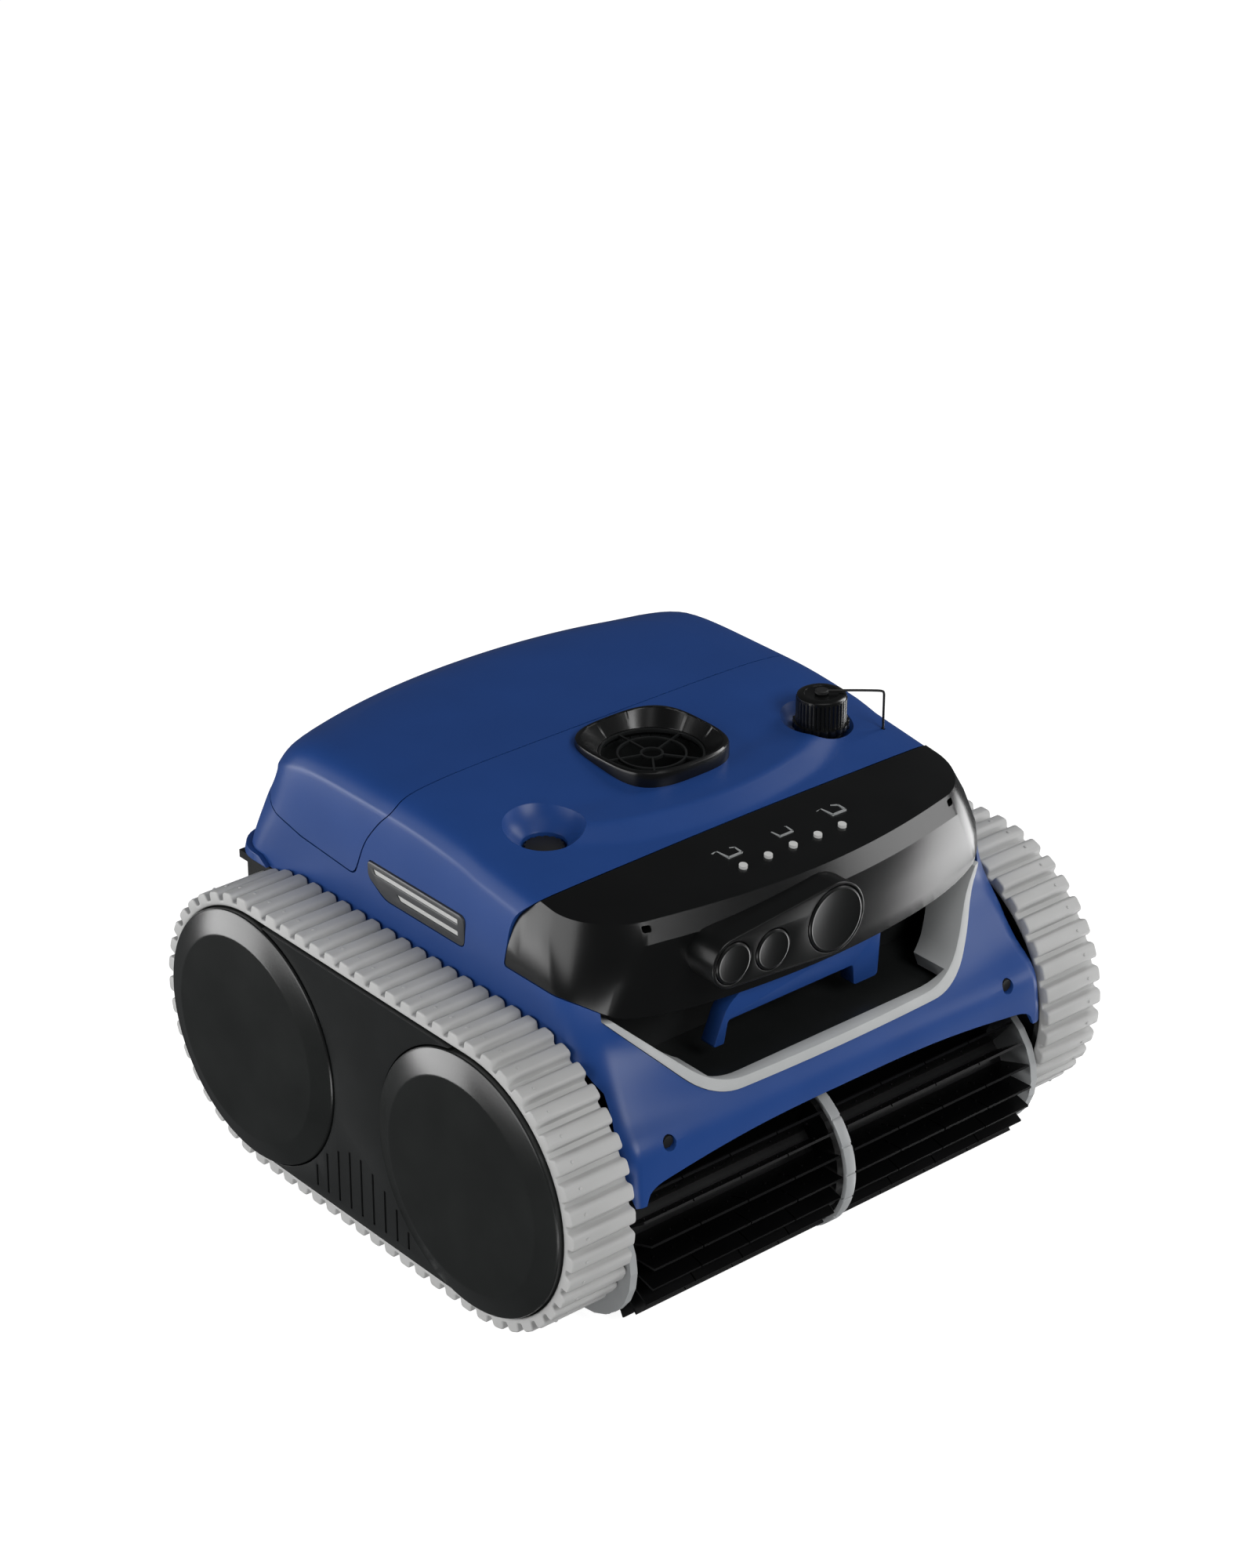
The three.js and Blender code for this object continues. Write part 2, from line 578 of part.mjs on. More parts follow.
place(
  "handle_insert",
  cut(
    block(-INSERT.half, INSERT.half, INSERT.y0, INSERT.y1, LINER.floor + LINER.wall + GAP, INSERT.top),
    block(INSERT.bar - INSERT.half, INSERT.half - INSERT.bar, -FAR, 0, 0, INSERT.top - INSERT.bar),
  ),
  blue,
);
for (const [side, s] of [["left", 1], ["right", -1]])
  place(
    side + "_fascia_screw",
    join(rod("y", SCREW.head, -181.2, -178.3, screwAt(s)), rod("y", SCREW.shank, -179, -156, screwAt(s), 12)),
    steel,
  );

// ---------- outlet ----------
const ringShell = (half, z0, z1) => slab("z", roundedSquare(half, 26), z0, z1, 6);
place(
  "outlet_ring",
  cut(
    join(
      cut(join(ringShell(OUTLET_HALF, 245, 259.5), ringShell(OUTLET_HALF - 3, 259, 262.6)), proud),
      rod("z", NECK_RADIUS, 226, 259, [0, OUTLET_Y, 0], 28),
    ),
    rod("z", OUTLET_BORE, 200, 270, [0, OUTLET_Y, 0], 28),
  ),
  glossBlack,
);
const GRILLE_Z = [253, 256];
const spokes = [0, 1, 2, 3, 4].map((i) => {
  const geometry = new THREE.BoxGeometry(OUTLET_BORE - 6, 2.4, GRILLE_Z[1] - GRILLE_Z[0]);
  geometry.translate((OUTLET_BORE + 2) / 2, 0, 0);
  geometry.rotateZ((2 * Math.PI * i) / 5 + 0.3);
  geometry.translate(0, OUTLET_Y, (GRILLE_Z[0] + GRILLE_Z[1]) / 2);
  return toSolid(geometry);
});
const grilleAt = [0, OUTLET_Y, 0];
place(
  "outlet_grille",
  join(
    tube("z", OUTLET_BORE - 3, OUTLET_BORE - 0.6, ...GRILLE_Z, grilleAt, 24),
    tube("z", 18, 20.4, ...GRILLE_Z, grilleAt, 20),
    rod("z", 6.5, ...GRILLE_Z, grilleAt),
    ...spokes,
  ),
  satinBlack,
);

// ---------- dishes: charging socket and cap, plug ----------
const atDish = (s) => [s * DISH_X, DISH_Y, 0];
const SEAT = DISH_HOLE - GAP;
const SOCKET_BORE = SEAT - 3.1;
place(
  "charge_socket",
  turned(
    "z",
    [[0, 228], [SEAT, 228], [SEAT, 243.5], [SOCKET_BORE, 243.5], [SOCKET_BORE, 232], [0, 232]],
    atDish(1),
    24,
  ),
  satinBlack,
);
function knurled(radius, depth, count, z0, z1, at) {
  const outline = Array.from({ length: 2 * count }, (_, i) => {
    const r = i % 2 ? radius : radius - depth;
    const angle = (Math.PI * i) / count;
    return [at[0] + r * Math.cos(angle), at[1] + r * Math.sin(angle)];
  });
  return slab("z", outline, z0, z1);
}
place(
  "charge_cap",
  join(
    knurled(CAP_RADIUS, 1, 24, 251, CAP_TOP - 2.5, atDish(1)),
    turned("z", [[0, CAP_TOP - 3], [CAP_RADIUS - 1.4, CAP_TOP - 3], [CAP_RADIUS - 3.5, CAP_TOP], [0, CAP_TOP]], atDish(1)),
    knurled(CAP_RADIUS + 1.6, 1.2, 12, 248.6, 251.2, atDish(1)),
    rod("z", SOCKET_BORE - 0.6, 236, 249, atDish(1)),
  ),
  satinBlack,
);
place(
  "vent_plug",
  join(
    rod("z", SEAT, 228, 242, atDish(-1), 24),
    knurled(DISH_HOLE - 2, 1.2, 16, 241.5, 247, atDish(-1)),
  ),
  satinBlack,
);
const TETHER_TOP = CAP_TOP + 1.4;
const tetherPath = new THREE.CatmullRomCurve3(
  [
    [DISH_X, DISH_Y, TETHER_TOP], [DISH_X + 10, DISH_Y - 7, TETHER_TOP + 0.4],
    [DISH_X + 20, DISH_Y - 15, TETHER_TOP - 0.4], [tetherFoot[0] - 2, tetherFoot[1] + 1.5, TETHER_TOP - 2],
    [tetherFoot[0], tetherFoot[1], TETHER_TOP - 5], [tetherFoot[0], tetherFoot[1], 257],
    [tetherFoot[0], tetherFoot[1], 244],
  ].map((p) => new THREE.Vector3(...p)),
);
const tetherSection = new THREE.Shape().absarc(0, 0, 1, 0, 2 * Math.PI);
place(
  "cap_tether",
  join(
    toSolid(
      new THREE.ExtrudeGeometry(tetherSection, { steps: 16, extrudePath: tetherPath, curveSegments: 4 }),
    ),
    rod("z", 4, CAP_TOP + GAP, CAP_TOP + 2, atDish(1), 16),
  ),
  blackRubber,
);

// ---------- side lights ----------
const lightSlots = (d) => {
  const { y0, y1, z0, z1 } = LIGHT_BOX;
  const upper = [[y0 + 6, z1 - 6.5], [y1 - 7, z1 - 6.5], [y1 - 5, z1 - 3.5], [y0 + 6, z1 - 3.5]];
  const lower = [[y0 + 6, z0 + 5], [y1 - 30, z0 + 5], [y1 - 27, z0 + 8], [y0 + 6, z0 + 8]];
  const grow = ([y, z], i) => [y + (i === 1 || i === 2 ? d : -d), z + (i > 1 ? d : -d)];
  return [upper.map(grow), lower.map(grow)];
};
const LIGHT_FACE = SHELL_HALF - 1.7;
const lightFrame = cut(
  slab("x", lightOutline(0), LIGHT_FACE - 5, LIGHT_FACE),
  ...lightSlots(GAP).map((o) => slab("x", o, 0, FAR)),
);
const lightLens = join(
  slab("x", lightOutline(-2), LIGHT_FACE - 7.3, LIGHT_FACE - 5.3),
  ...lightSlots(0).map((o) => slab("x", o, LIGHT_FACE - 6, LIGHT_FACE - 0.8)),
);
pair("side_light", lightFrame, glossBlack);
pair("side_light_lens", lightLens, whiteLens);

// ---------- chassis tray ----------
const REAR_WALL = SHELL_REAR - 11.5;
const FRONT_SHELF = -168;
// The tray's floor and the arch over one brush, from the floor outwards; `w` takes it in by a wall.
const archSide = (s, w) =>
  [180, 155, 127, 90].map((degrees) => {
    const angle = (degrees * Math.PI) / 180;
    return [
      s * (BRUSH_Y + (ARCH_RADIUS + w) * Math.cos(angle)),
      BRUSH_Z + (ARCH_RADIUS + w) * Math.sin(angle),
    ];
  });
const FLOOR_HALF = BRUSH_Y - ARCH_RADIUS;
const trayOutline = [
  [-FLOOR_HALF, TRAY_FLOOR], [FLOOR_HALF, TRAY_FLOOR], ...archSide(1, 0), [REAR_WALL, archTop],
  [REAR_WALL, TRAY_RIM], [-110, TRAY_RIM], [-110, 131.5], [FRONT_SHELF, 131.5], [FRONT_SHELF, archTop],
  ...archSide(-1, 0).toReversed(),
];
const w = TRAY_WALL;
const trayHollow = [
  [w - FLOOR_HALF, TRAY_FLOOR + w], [FLOOR_HALF - w, TRAY_FLOOR + w], ...archSide(1, w),
  [REAR_WALL - w, archTop + w], [REAR_WALL - w, FAR], [w - 110, FAR],
  [w - 110, BRUSH_Z + (ARCH_RADIUS + w) * 0.85], ...archSide(-1, w).slice(0, 3).toReversed(),
];
const innerHalf = TRAY_HALF - TRAY_WALL;
const wallHole = (y, z, r) => rod("x", r, -FAR, FAR, [0, y, z]);
const INTAKE = { x0: 22, x1: 79, y0: 2, y1: 30 };
const intakeWindow = (s, grow, z0, z1) =>
  block(
    ...(s > 0 ? [INTAKE.x0 - grow, INTAKE.x1 + grow] : [-INTAKE.x1 - grow, -INTAKE.x0 + grow]),
    INTAKE.y0 - grow, INTAKE.y1 + grow, z0, z1,
  );
const MOTOR_BASE = 70;
place(
  "chassis_tray",
  cut(
    join(
      cut(
        slab("x", trayOutline, -TRAY_HALF, TRAY_HALF),
        slab("x", trayHollow, -innerHalf, innerHalf),
        block(32 - TRAY_HALF, TRAY_HALF - 32, -FAR, -116, archTop + 4, 128),
      ),
      // rim that carries the shell's foot
      cut(
        block(0.2 - SHELL_HALF, SHELL_HALF - 0.2, -110, REAR_WALL, TRAY_RIM - 5, TRAY_RIM),
        block(-innerHalf, innerHalf, -107, REAR_WALL - 3, 0, FAR),
      ),
      rod("z", 18, TRAY_FLOOR + 1, MOTOR_BASE - GAP, grilleAt, 24),
      gripPocket,
      // bosses that carry the axles
      ...[1, -1].flatMap((s) => [
        rod("x", 16, TRAY_HALF - 4.8, TRAY_HALF, [0, s * AXLE_Y, TRACK_RADIUS], 24),
        rod("x", 16, -TRAY_HALF, 4.8 - TRAY_HALF, [0, s * AXLE_Y, TRACK_RADIUS], 24),
      ]),
    ),
    wallHole(AXLE_Y, TRACK_RADIUS, AXLE_RADIUS + GAP),
    wallHole(-AXLE_Y, TRACK_RADIUS, AXLE_RADIUS + GAP),
    wallHole(PINION_Y, PINION_Z, 3 + RUNNING),
    intakeWindow(1, 4.5, 0, 30),
    intakeWindow(-1, 4.5, 0, 30),
    ...[1, -1].map((s) => rod("y", SCREW.shank + RUNNING, -175, -150, screwAt(s), 12)),
  ),
  satinBlack,
);
place(
  "bottom_plate",
  cut(
    block(40 - TRAY_HALF, TRAY_HALF - 40, 14 - FLOOR_HALF, FLOOR_HALF - 14, TRAY_FLOOR - 6, TRAY_FLOOR - GAP),
    intakeWindow(1, 0, 0, 30),
    intakeWindow(-1, 0, 0, 30),
  ),
  satinBlack,
);
const FLAP = { z0: TRAY_FLOOR + GAP, thickness: 2, lap: 3 };
pair(
  "intake_flap",
  block(
    INTAKE.x0 - FLAP.lap, INTAKE.x1 + FLAP.lap, INTAKE.y0 - 4, INTAKE.y1 + FLAP.lap,
    FLAP.z0, FLAP.z0 + FLAP.thickness,
  ),
  blackRubber,
);

// ---------- what the tray holds ----------
const MOTOR_RADIUS = 24;
const BATTERY = { y0: TRAY_WALL + 0.5 - FLOOR_HALF, y1: OUTLET_Y - MOTOR_RADIUS - 1, z0: TRAY_FLOOR + TRAY_WALL + 0.5, z1: 92 };
place(
  "battery_pack",
  slab(
    "x",
    [
      [BATTERY.y0, BATTERY.z0, 8], [BATTERY.y1, BATTERY.z0, 8], [BATTERY.y1, BATTERY.z1, 8],
      [BATTERY.y0, BATTERY.z1, 8],
    ],
    -95,
    95,
  ),
  satinBlack,
);
place("control_board", block(-55, 55, -100, -66, 214, 215.8), green);
const basketWindow = (x0, x1, y0, y1) => block(x0, x1, y0, y1, BASKET.z0 + 30, BASKET.z1 - 30);
place(
  "filter_basket",
  cut(
    block(-BASKET_HALF, BASKET_HALF, BASKET.y0, BASKET.y1, BASKET.z0, BASKET.z1),
    block(
      BASKET.wall - BASKET_HALF, BASKET_HALF - BASKET.wall,
      BASKET.y0 + BASKET.wall, BASKET.y1 - BASKET.wall, BASKET.z0 + BASKET.wall, FAR,
    ),
    basketWindow(-100, -10, 0, FAR),
    basketWindow(10, 100, 0, FAR),
    basketWindow(-FAR, FAR, 50, 124),
    block(-60, 60, 60, 115, 100, 120),
  ),
  clearGrey,
);
place("pump_motor", join(rod("z", MOTOR_RADIUS, MOTOR_BASE, 165, grilleAt, 20), rod("z", 4, 164, 192, grilleAt, 12)), steel);
const legs = [0, 1, 2].map((i) => {
  const geometry = new THREE.BoxGeometry(16.5, 5, 42);
  geometry.translate(33.5, 0, 169);
  geometry.rotateZ((2 * Math.PI * i) / 3 + 0.5);
  geometry.translate(...grilleAt);
  return toSolid(geometry);
});
place(
  "pump_housing",
  join(
    tube("z", MOTOR_RADIUS + GAP, MOTOR_RADIUS + 5, 146, 164, grilleAt),
    tube("z", 38.6, 42, 182, 225.5, grilleAt),
    ...legs,
  ),
  satinBlack,
);
const blades = [0, 1, 2, 3].map((i) => {
  const geometry = new THREE.BoxGeometry(28, 2.4, 20);
  geometry.translate(21.5, 0, 0);
  geometry.rotateX(0.75);
  geometry.rotateZ((Math.PI * i) / 2);
  geometry.translate(0, OUTLET_Y, 206);
  return toSolid(geometry);
});
place("impeller", join(rod("z", 10, 195, 217, grilleAt, 20), ...blades), clearGrey);
pair("drive_motor", turned("x", [[0, TRAY_HALF - 56], [13, TRAY_HALF - 56], [16, TRAY_HALF - 53], [16, TRAY_HALF - 3.3], [4, TRAY_HALF - 3.3], [4, TRAY_HALF - 9], [0, TRAY_HALF - 9]], [0, PINION_Y, PINION_Z], 16), steel);

// ---------- running gear ----------
const meshPhase = (teeth, angle) => angle + Math.PI + Math.PI / teeth;
pair(
  "drive_pinion",
  join(
    gear(PINION_TEETH, meshPhase(PINION_TEETH, PINION_ANGLE), GEAR_X, GEAR_X + GEAR_FACE - 1, [0, PINION_Y, PINION_Z]),
    rod("x", 3, TRAY_HALF - 8, GEAR_X + 1, [0, PINION_Y, PINION_Z], 16),
  ),
  greyPlastic,
);

function lugged(radius) {
  // The belt's outer outline: lugs at equal steps along a path that is straight above and below and round at the ends.
  const straight = AXLE_SPREAD;
  const length = 2 * straight + 2 * Math.PI * radius;
  const at = (s, height) => {
    const t = ((s % length) + length) % length;
    const reach = radius + height;
    const bend = Math.PI * radius;
    if (t < straight) return [t - AXLE_Y, TRACK_RADIUS - reach];
    if (t < straight + bend) {
      const a = (t - straight) / radius;
      return [AXLE_Y + reach * Math.sin(a), TRACK_RADIUS - reach * Math.cos(a)];
    }
    if (t < 2 * straight + bend) return [AXLE_Y - (t - straight - bend), TRACK_RADIUS + reach];
    const a = (t - 2 * straight - bend) / radius;
    return [-AXLE_Y - reach * Math.sin(a), TRACK_RADIUS + reach * Math.cos(a)];
  };
  const lug = [[-4.4, 0], [-2.4, LUG_HEIGHT], [2.4, LUG_HEIGHT], [4.4, 0]]; // along the belt, height
  const outline = [];
  for (let i = 0; i < LUG_COUNT; i++)
    for (const [s, h] of lug) outline.push(at(((i + 0.5) * length) / LUG_COUNT + s, h));
  return outline;
}
function stadium(radius) {
  const shape = new THREE.Shape();
  shape.moveTo(-AXLE_Y, TRACK_RADIUS - radius);
  shape.lineTo(AXLE_Y, TRACK_RADIUS - radius);
  shape.absarc(AXLE_Y, TRACK_RADIUS, radius, -Math.PI / 2, Math.PI / 2);
  shape.absarc(-AXLE_Y, TRACK_RADIUS, radius, Math.PI / 2, (3 * Math.PI) / 2);
  return shape;
}
pair(
  "track_belt",
  cut(slab("x", lugged(BELT_OUTER), TRACK_INNER, TRACK_OUTER), slab("x", stadium(BELT_INNER), 0, FAR, 20)),
  greyRubber,
);

const coverOutline = (d) => cut(
  slab("x", stadium(WHEEL_RADIUS - 0.2 - d), SHELL_HALF + GAP, TRACK_OUTER + 3, 12),
  ...[1, -1].map((s) => rod("x", WHEEL_RADIUS + 1 + d, 0, FAR, [0, s * AXLE_Y, TRACK_RADIUS], 28)),
);
const middle = block(0, FAR, -AXLE_Y + 5, AXLE_Y - 5, 0, FAR);
pair(
  "side_cover",
  join(
    cut(
      common(coverOutline(0), middle),
      common(coverOutline(3), block(0, TRACK_OUTER, -AXLE_Y, AXLE_Y, 0, FAR)),
    ),
    // the boss that bolts it to the tray
    block(TRAY_HALF + GAP, TRACK_OUTER + 1, -12, 12, TRACK_RADIUS - 18, TRACK_RADIUS + 22),
  ),
  satinBlack,
);

const wheelProfile = [
  [0, TRACK_OUTER - 6], [AXLE_RADIUS + RUNNING, TRACK_OUTER - 6], [AXLE_RADIUS + RUNNING, WHEEL_INNER],
  [12, WHEEL_INNER], [12, TRACK_OUTER + 1.5], [WHEEL_RADIUS - RIM_WALL, TRACK_OUTER + 1.5],
  [WHEEL_RADIUS - RIM_WALL, WHEEL_INNER], [WHEEL_RADIUS, WHEEL_INNER], [WHEEL_RADIUS, TRACK_OUTER + 2.4], [WHEEL_RADIUS - 1.2, TRACK_OUTER + 3.4], [FACE_RADIUS, TRACK_OUTER + FACE_OFFSET],
  [0, TRACK_OUTER + FACE_OFFSET],
];
const PLATE_RADIUS = BRUSH_RADIUS - 6.75;
for (const [end, s] of [["front", -1], ["rear", 1]]) {
  const axle = [0, s * AXLE_Y, TRACK_RADIUS];
  const gearHole = rod("x", 9, 0, FAR, axle, 24);
  const phase = s > 0 ? PINION_ANGLE : Math.PI - BRUSH_ANGLE;
  pair(
    end + "_wheel",
    join(
      turned("x", wheelProfile, axle, 22),
      cut(gear(WHEEL_TEETH, phase, GEAR_X, GEAR_X + GEAR_FACE, axle), gearHole),
    ),
    satinBlack,
  );
  pair(
    end + "_axle",
    join(
      rod("x", AXLE_RADIUS, TRAY_HALF - 4.6, TRACK_OUTER - 6.5, axle),
      rod("x", 9, TRACK_INNER - 1 + GAP, WHEEL_INNER - GAP, axle),
    ),
    steel,
  );

  const shaft = [0, s * BRUSH_Y, BRUSH_Z];
  const towardsAxle = s > 0 ? BRUSH_ANGLE + Math.PI : -BRUSH_ANGLE;
  // wheel teeth counted from the wheel's own phase decide where the brush gear's teeth must lie
  const wheelStep = (2 * Math.PI) / WHEEL_TEETH;
  const contact = s > 0 ? BRUSH_ANGLE : Math.PI - BRUSH_ANGLE;
  const ahead = (((contact - phase) / wheelStep) % 1 + 1) % 1;
  const brushPhase = towardsAxle + ((0.5 + ahead) * 2 * Math.PI) / BRUSH_TEETH;
  const fins = [];
  const finEnd = Math.sqrt(BRUSH_RADIUS ** 2 - (FIN_THICKNESS / 2) ** 2);
  const step = (2 * Math.PI) / BRUSH_FINS;
  for (let i = 0; i < BRUSH_FINS; i++)
    for (const [r, t] of [[BRUSH_CORE, -1], [finEnd, -1], [finEnd, 1], [BRUSH_CORE, 1]]) {
      const [c, k] = [Math.cos(i * step), Math.sin(i * step)];
      const across = (t * FIN_THICKNESS) / 2;
      fins.push([shaft[1] + r * c - across * k, shaft[2] + r * k + across * c]);
    }
  pair(
    end + "_brush",
    join(
      slab("x", fins, BRUSH_START, BRUSH_END),
      rod("x", 5, BRUSH_END - 1, GEAR_X + 1, shaft),
      gear(BRUSH_TEETH, brushPhase, GEAR_X, GEAR_X + GEAR_FACE - 1, shaft),
    ),
    blackRubber,
  );
  const arm = slab(
    "x",
    [
      [s * (BRUSH_Y - 17.4), BRUSH_Z + 35.2], [s * (AXLE_Y - 4), TRACK_RADIUS + 11.8],
      [s * (AXLE_Y - 12), TRACK_RADIUS - 8.2], [s * (BRUSH_Y - 29.4), BRUSH_Z + 4.7],
    ],
    TRAY_HALF + GAP,
    TRACK_INNER - 1,
  );
  pair(
    end + "_brush_plate",
    cut(
      join(
        rod("x", PLATE_RADIUS, TRAY_HALF + GAP, TRACK_INNER - 1, shaft, 24),
        rod("x", 14, TRAY_HALF + GAP, TRACK_INNER - 1, axle, 20),
        arm,
      ),
      rod("x", 5 + RUNNING, 0, FAR, shaft),
      rod("x", AXLE_RADIUS + GAP, 0, FAR, axle),
    ),
    greyPlastic,
  );
  // The middle support hangs from the tray between the two brush halves.
  const stemY = [s * BRUSH_Y, s * (BRUSH_Y + 13)].toSorted((a, b) => a - b);
  const stem = block(-SUPPORT_HALF, SUPPORT_HALF, ...stemY, BRUSH_Z + 30, archTop - GAP);
  place(
    end + "_brush_support",
    join(
      rod("x", PLATE_RADIUS, -SUPPORT_HALF, SUPPORT_HALF, shaft, 24),
      stem,
    ),
    greyPlastic,
  );
}

export default robot;
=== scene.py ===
"""A cordless pool-cleaning robot on two lugged belts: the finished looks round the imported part.

Pieces are sized in millimetres and placed in the part's own frame: +Z up, front towards -Y.
"""
import json
import math

import bpy
from mathutils import Matrix, Vector


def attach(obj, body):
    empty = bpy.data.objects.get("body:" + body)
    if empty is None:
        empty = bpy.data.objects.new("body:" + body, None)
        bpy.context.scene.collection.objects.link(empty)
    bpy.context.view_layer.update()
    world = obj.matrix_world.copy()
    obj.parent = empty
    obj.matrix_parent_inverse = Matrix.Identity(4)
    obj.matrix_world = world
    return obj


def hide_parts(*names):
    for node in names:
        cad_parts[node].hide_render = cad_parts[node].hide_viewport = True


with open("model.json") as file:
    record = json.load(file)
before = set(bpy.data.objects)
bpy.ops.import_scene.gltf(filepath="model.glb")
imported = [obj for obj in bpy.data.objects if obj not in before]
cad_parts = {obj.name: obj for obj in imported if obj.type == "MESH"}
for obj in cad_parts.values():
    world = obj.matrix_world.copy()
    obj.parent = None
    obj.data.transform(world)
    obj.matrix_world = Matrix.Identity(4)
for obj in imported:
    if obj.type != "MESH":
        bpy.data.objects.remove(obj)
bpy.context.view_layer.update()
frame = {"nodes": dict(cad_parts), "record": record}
MM = 0.001

# ---------- camera ----------
bpy.ops.object.camera_add(location=(-1.28498, -1.50868, 1.24719))
camera = bpy.context.object
aim = Vector((0.02400, 0.03318, 0.20416)) - camera.location
camera.rotation_euler = aim.to_track_quat("-Z", "Y").to_euler()
camera.data.lens = 88.67
bpy.context.scene.camera = camera

# ---------- sizes, in millimetres ----------
AXLE_Y = 101.2
AXLE_Z = 88.25
LUG_HEIGHT = 5.35
LUG_COUNT = 66
BELT_OUTER = AXLE_Z - LUG_HEIGHT
BELT_INNER = BELT_OUTER - 3.15
TRACK_INNER = 158.2
TRACK_OUTER = TRACK_INNER + 44
WHEEL_RADIUS = BELT_INNER - 0.75
WHEEL_FACE = TRACK_OUTER + 7.3
FACE_RADIUS = 64.5
BRUSH_REACH = 56
BRUSH_ANGLE = math.atan2(-39.0, 40.2)
BRUSH_Y = AXLE_Y + BRUSH_REACH * math.cos(BRUSH_ANGLE)
BRUSH_Z = AXLE_Z + BRUSH_REACH * math.sin(BRUSH_ANGLE)
BRUSH_RADIUS = 48.75
BRUSH_CORE = 24.5
BRUSH_FINS = 22
BRUSH_START = 5.4
BRUSH_END = 145.6
SHELL_HALF = 157.6
SHELL_REAR = 185.5
SHELL_TOP = 258
SHELL_WALL = 3
BEZEL_WALL = 4
SEAM_Y = 27.5
SEAM_GAP = 0.9
BAR_BOTTOM = 180
OUTLET_Y = -17
OUTLET_HALF = 43.5
OUTLET_BORE = 31
DISH = (104, -47)
DISH_RADIUS = 24.5
DISH_HOLE = 13
CAP_TOP = 268.6
TETHER_FOOT = (DISH[0] + 29, DISH[1] - 22)
SCREW_X = 129
SCREW_Z = 122.5
HINGE = (185.2, 205)  # Y and Z of the lid's pin
LID_LUG_X = 52
LID_LUG_HALF = 8
EAR_X = 67.2
EAR_HALF = 6.8
TOP_HALF = 151
TOP_FRONT = 166
MARK_Y = -122
POD_FACE = -176
BUTTONS = [
    ("mode_button", -78.6, 212.3, 12.2),
    ("timer_button", -50, 210.5, 12),
    ("power_button", -3.8, 212.6, 19.6),
]
WIRE_STEP = 5
WIRE_HALF = 0.3
RIM_OUTER = 49.6
RIM_NOTCHES = 18
FAR = 300
MERGE = 1e-6  # in metres


# ---------- helpers ----------
def pick(*pieces):
    bpy.ops.object.select_all(action="DESELECT")
    for piece in pieces:
        piece.select_set(True)
        bpy.context.view_layer.objects.active = piece


AXES = {"x": (1, 2, 0), "y": (0, 2, 1), "z": (0, 1, 2)}


def spot(axis, a, b, along):
    """The point with coordinates (a, b) across an axis and `along` on it."""
    point = [0, 0, 0]
    for place, value in zip(AXES[axis], (a, b, along)):
        point[place] = value * MM
    return point


def edit_all(piece):
    pick(piece)
    bpy.ops.object.mode_set(mode="EDIT")
    bpy.ops.mesh.select_all(action="SELECT")


def close_edit():
    bpy.ops.mesh.select_all(action="SELECT")
    bpy.ops.mesh.remove_doubles(threshold=MERGE)
    bpy.ops.mesh.normals_make_consistent(inside=False)
    bpy.ops.object.mode_set(mode="OBJECT")


def plate(axis, outline, low, high):
    """An outline filled and extruded along an axis."""
    pick()
    bpy.ops.mesh.primitive_circle_add(vertices=len(outline), fill_type="NGON")
    piece = bpy.context.object
    for vertex, (a, b) in zip(piece.data.vertices, outline):
        vertex.co = spot(axis, a, b, low)
    edit_all(piece)
    bpy.ops.mesh.extrude_region_move(TRANSFORM_OT_translate={"value": spot(axis, 0, 0, high - low)})
    close_edit()
    return piece


def block(x0, x1, y0, y1, z0, z1):
    return plate("z", [(x0, y0), (x1, y0), (x1, y1), (x0, y1)], z0, z1)


def turned(axis, profile, centre=(0, 0), steps=64):
    """A profile of (radius, height) spun round an axis through `centre`; ends on the axis close there."""
    pick()
    bpy.ops.mesh.primitive_circle_add(vertices=len(profile), fill_type="NOTHING")
    piece = bpy.context.object
    for vertex, (radius, height) in zip(piece.data.vertices, profile):
        vertex.co = spot(axis, centre[0] + radius, centre[1], height)
    edit_all(piece)
    bpy.ops.mesh.spin(
        steps=steps,
        angle=2 * math.pi,
        center=spot(axis, centre[0], centre[1], 0),
        axis=[value / MM for value in spot(axis, 0, 0, 1)],
    )
    bpy.ops.mesh.select_all(action="SELECT")
    bpy.ops.mesh.remove_doubles(threshold=MERGE)
    bpy.ops.mesh.delete_loose(use_verts=True, use_edges=True, use_faces=False)
    close_edit()
    return piece


def rod(axis, radius, low, high, centre, steps=48):
    return turned(axis, [(0, low), (radius, low), (radius, high), (0, high)], centre, steps)


def ring(axis, inner, outer, low, high, centre, steps=64):
    return turned(axis, [(inner, low), (outer, low), (outer, high), (inner, high)], centre, steps)


def rounded(points, steps=6):
    """An outline whose third numbers round its corners."""
    outline, count = [], len(points)
    for i, (a, b, *radius) in enumerate(points):
        corner = Vector((a, b))
        if not radius:
            outline.append((a, b))
            continue
        ends = []
        for other in (points[i - 1], points[(i + 1) % count]):
            way = Vector(other[:2]) - corner
            ends.append(corner + way.normalized() * min(radius[0], way.length / 2))
        for k in range(steps + 1):
            t = k / steps
            point = ends[0] * (1 - t) ** 2 + corner * 2 * t * (1 - t) + ends[1] * t * t
            outline.append((point.x, point.y))
    return outline


def copy_of(piece, matrix=None):
    twin = piece.copy()
    twin.data = piece.data.copy()
    bpy.context.scene.collection.objects.link(twin)
    if matrix is not None:
        twin.data.transform(matrix)
        if matrix.determinant() < 0:
            twin.data.flip_normals()
    return twin


MIRROR = Matrix.Scale(-1, 4, (1, 0, 0))


def joined(*pieces):
    pick(*reversed(pieces))
    bpy.ops.object.join()
    return bpy.context.object


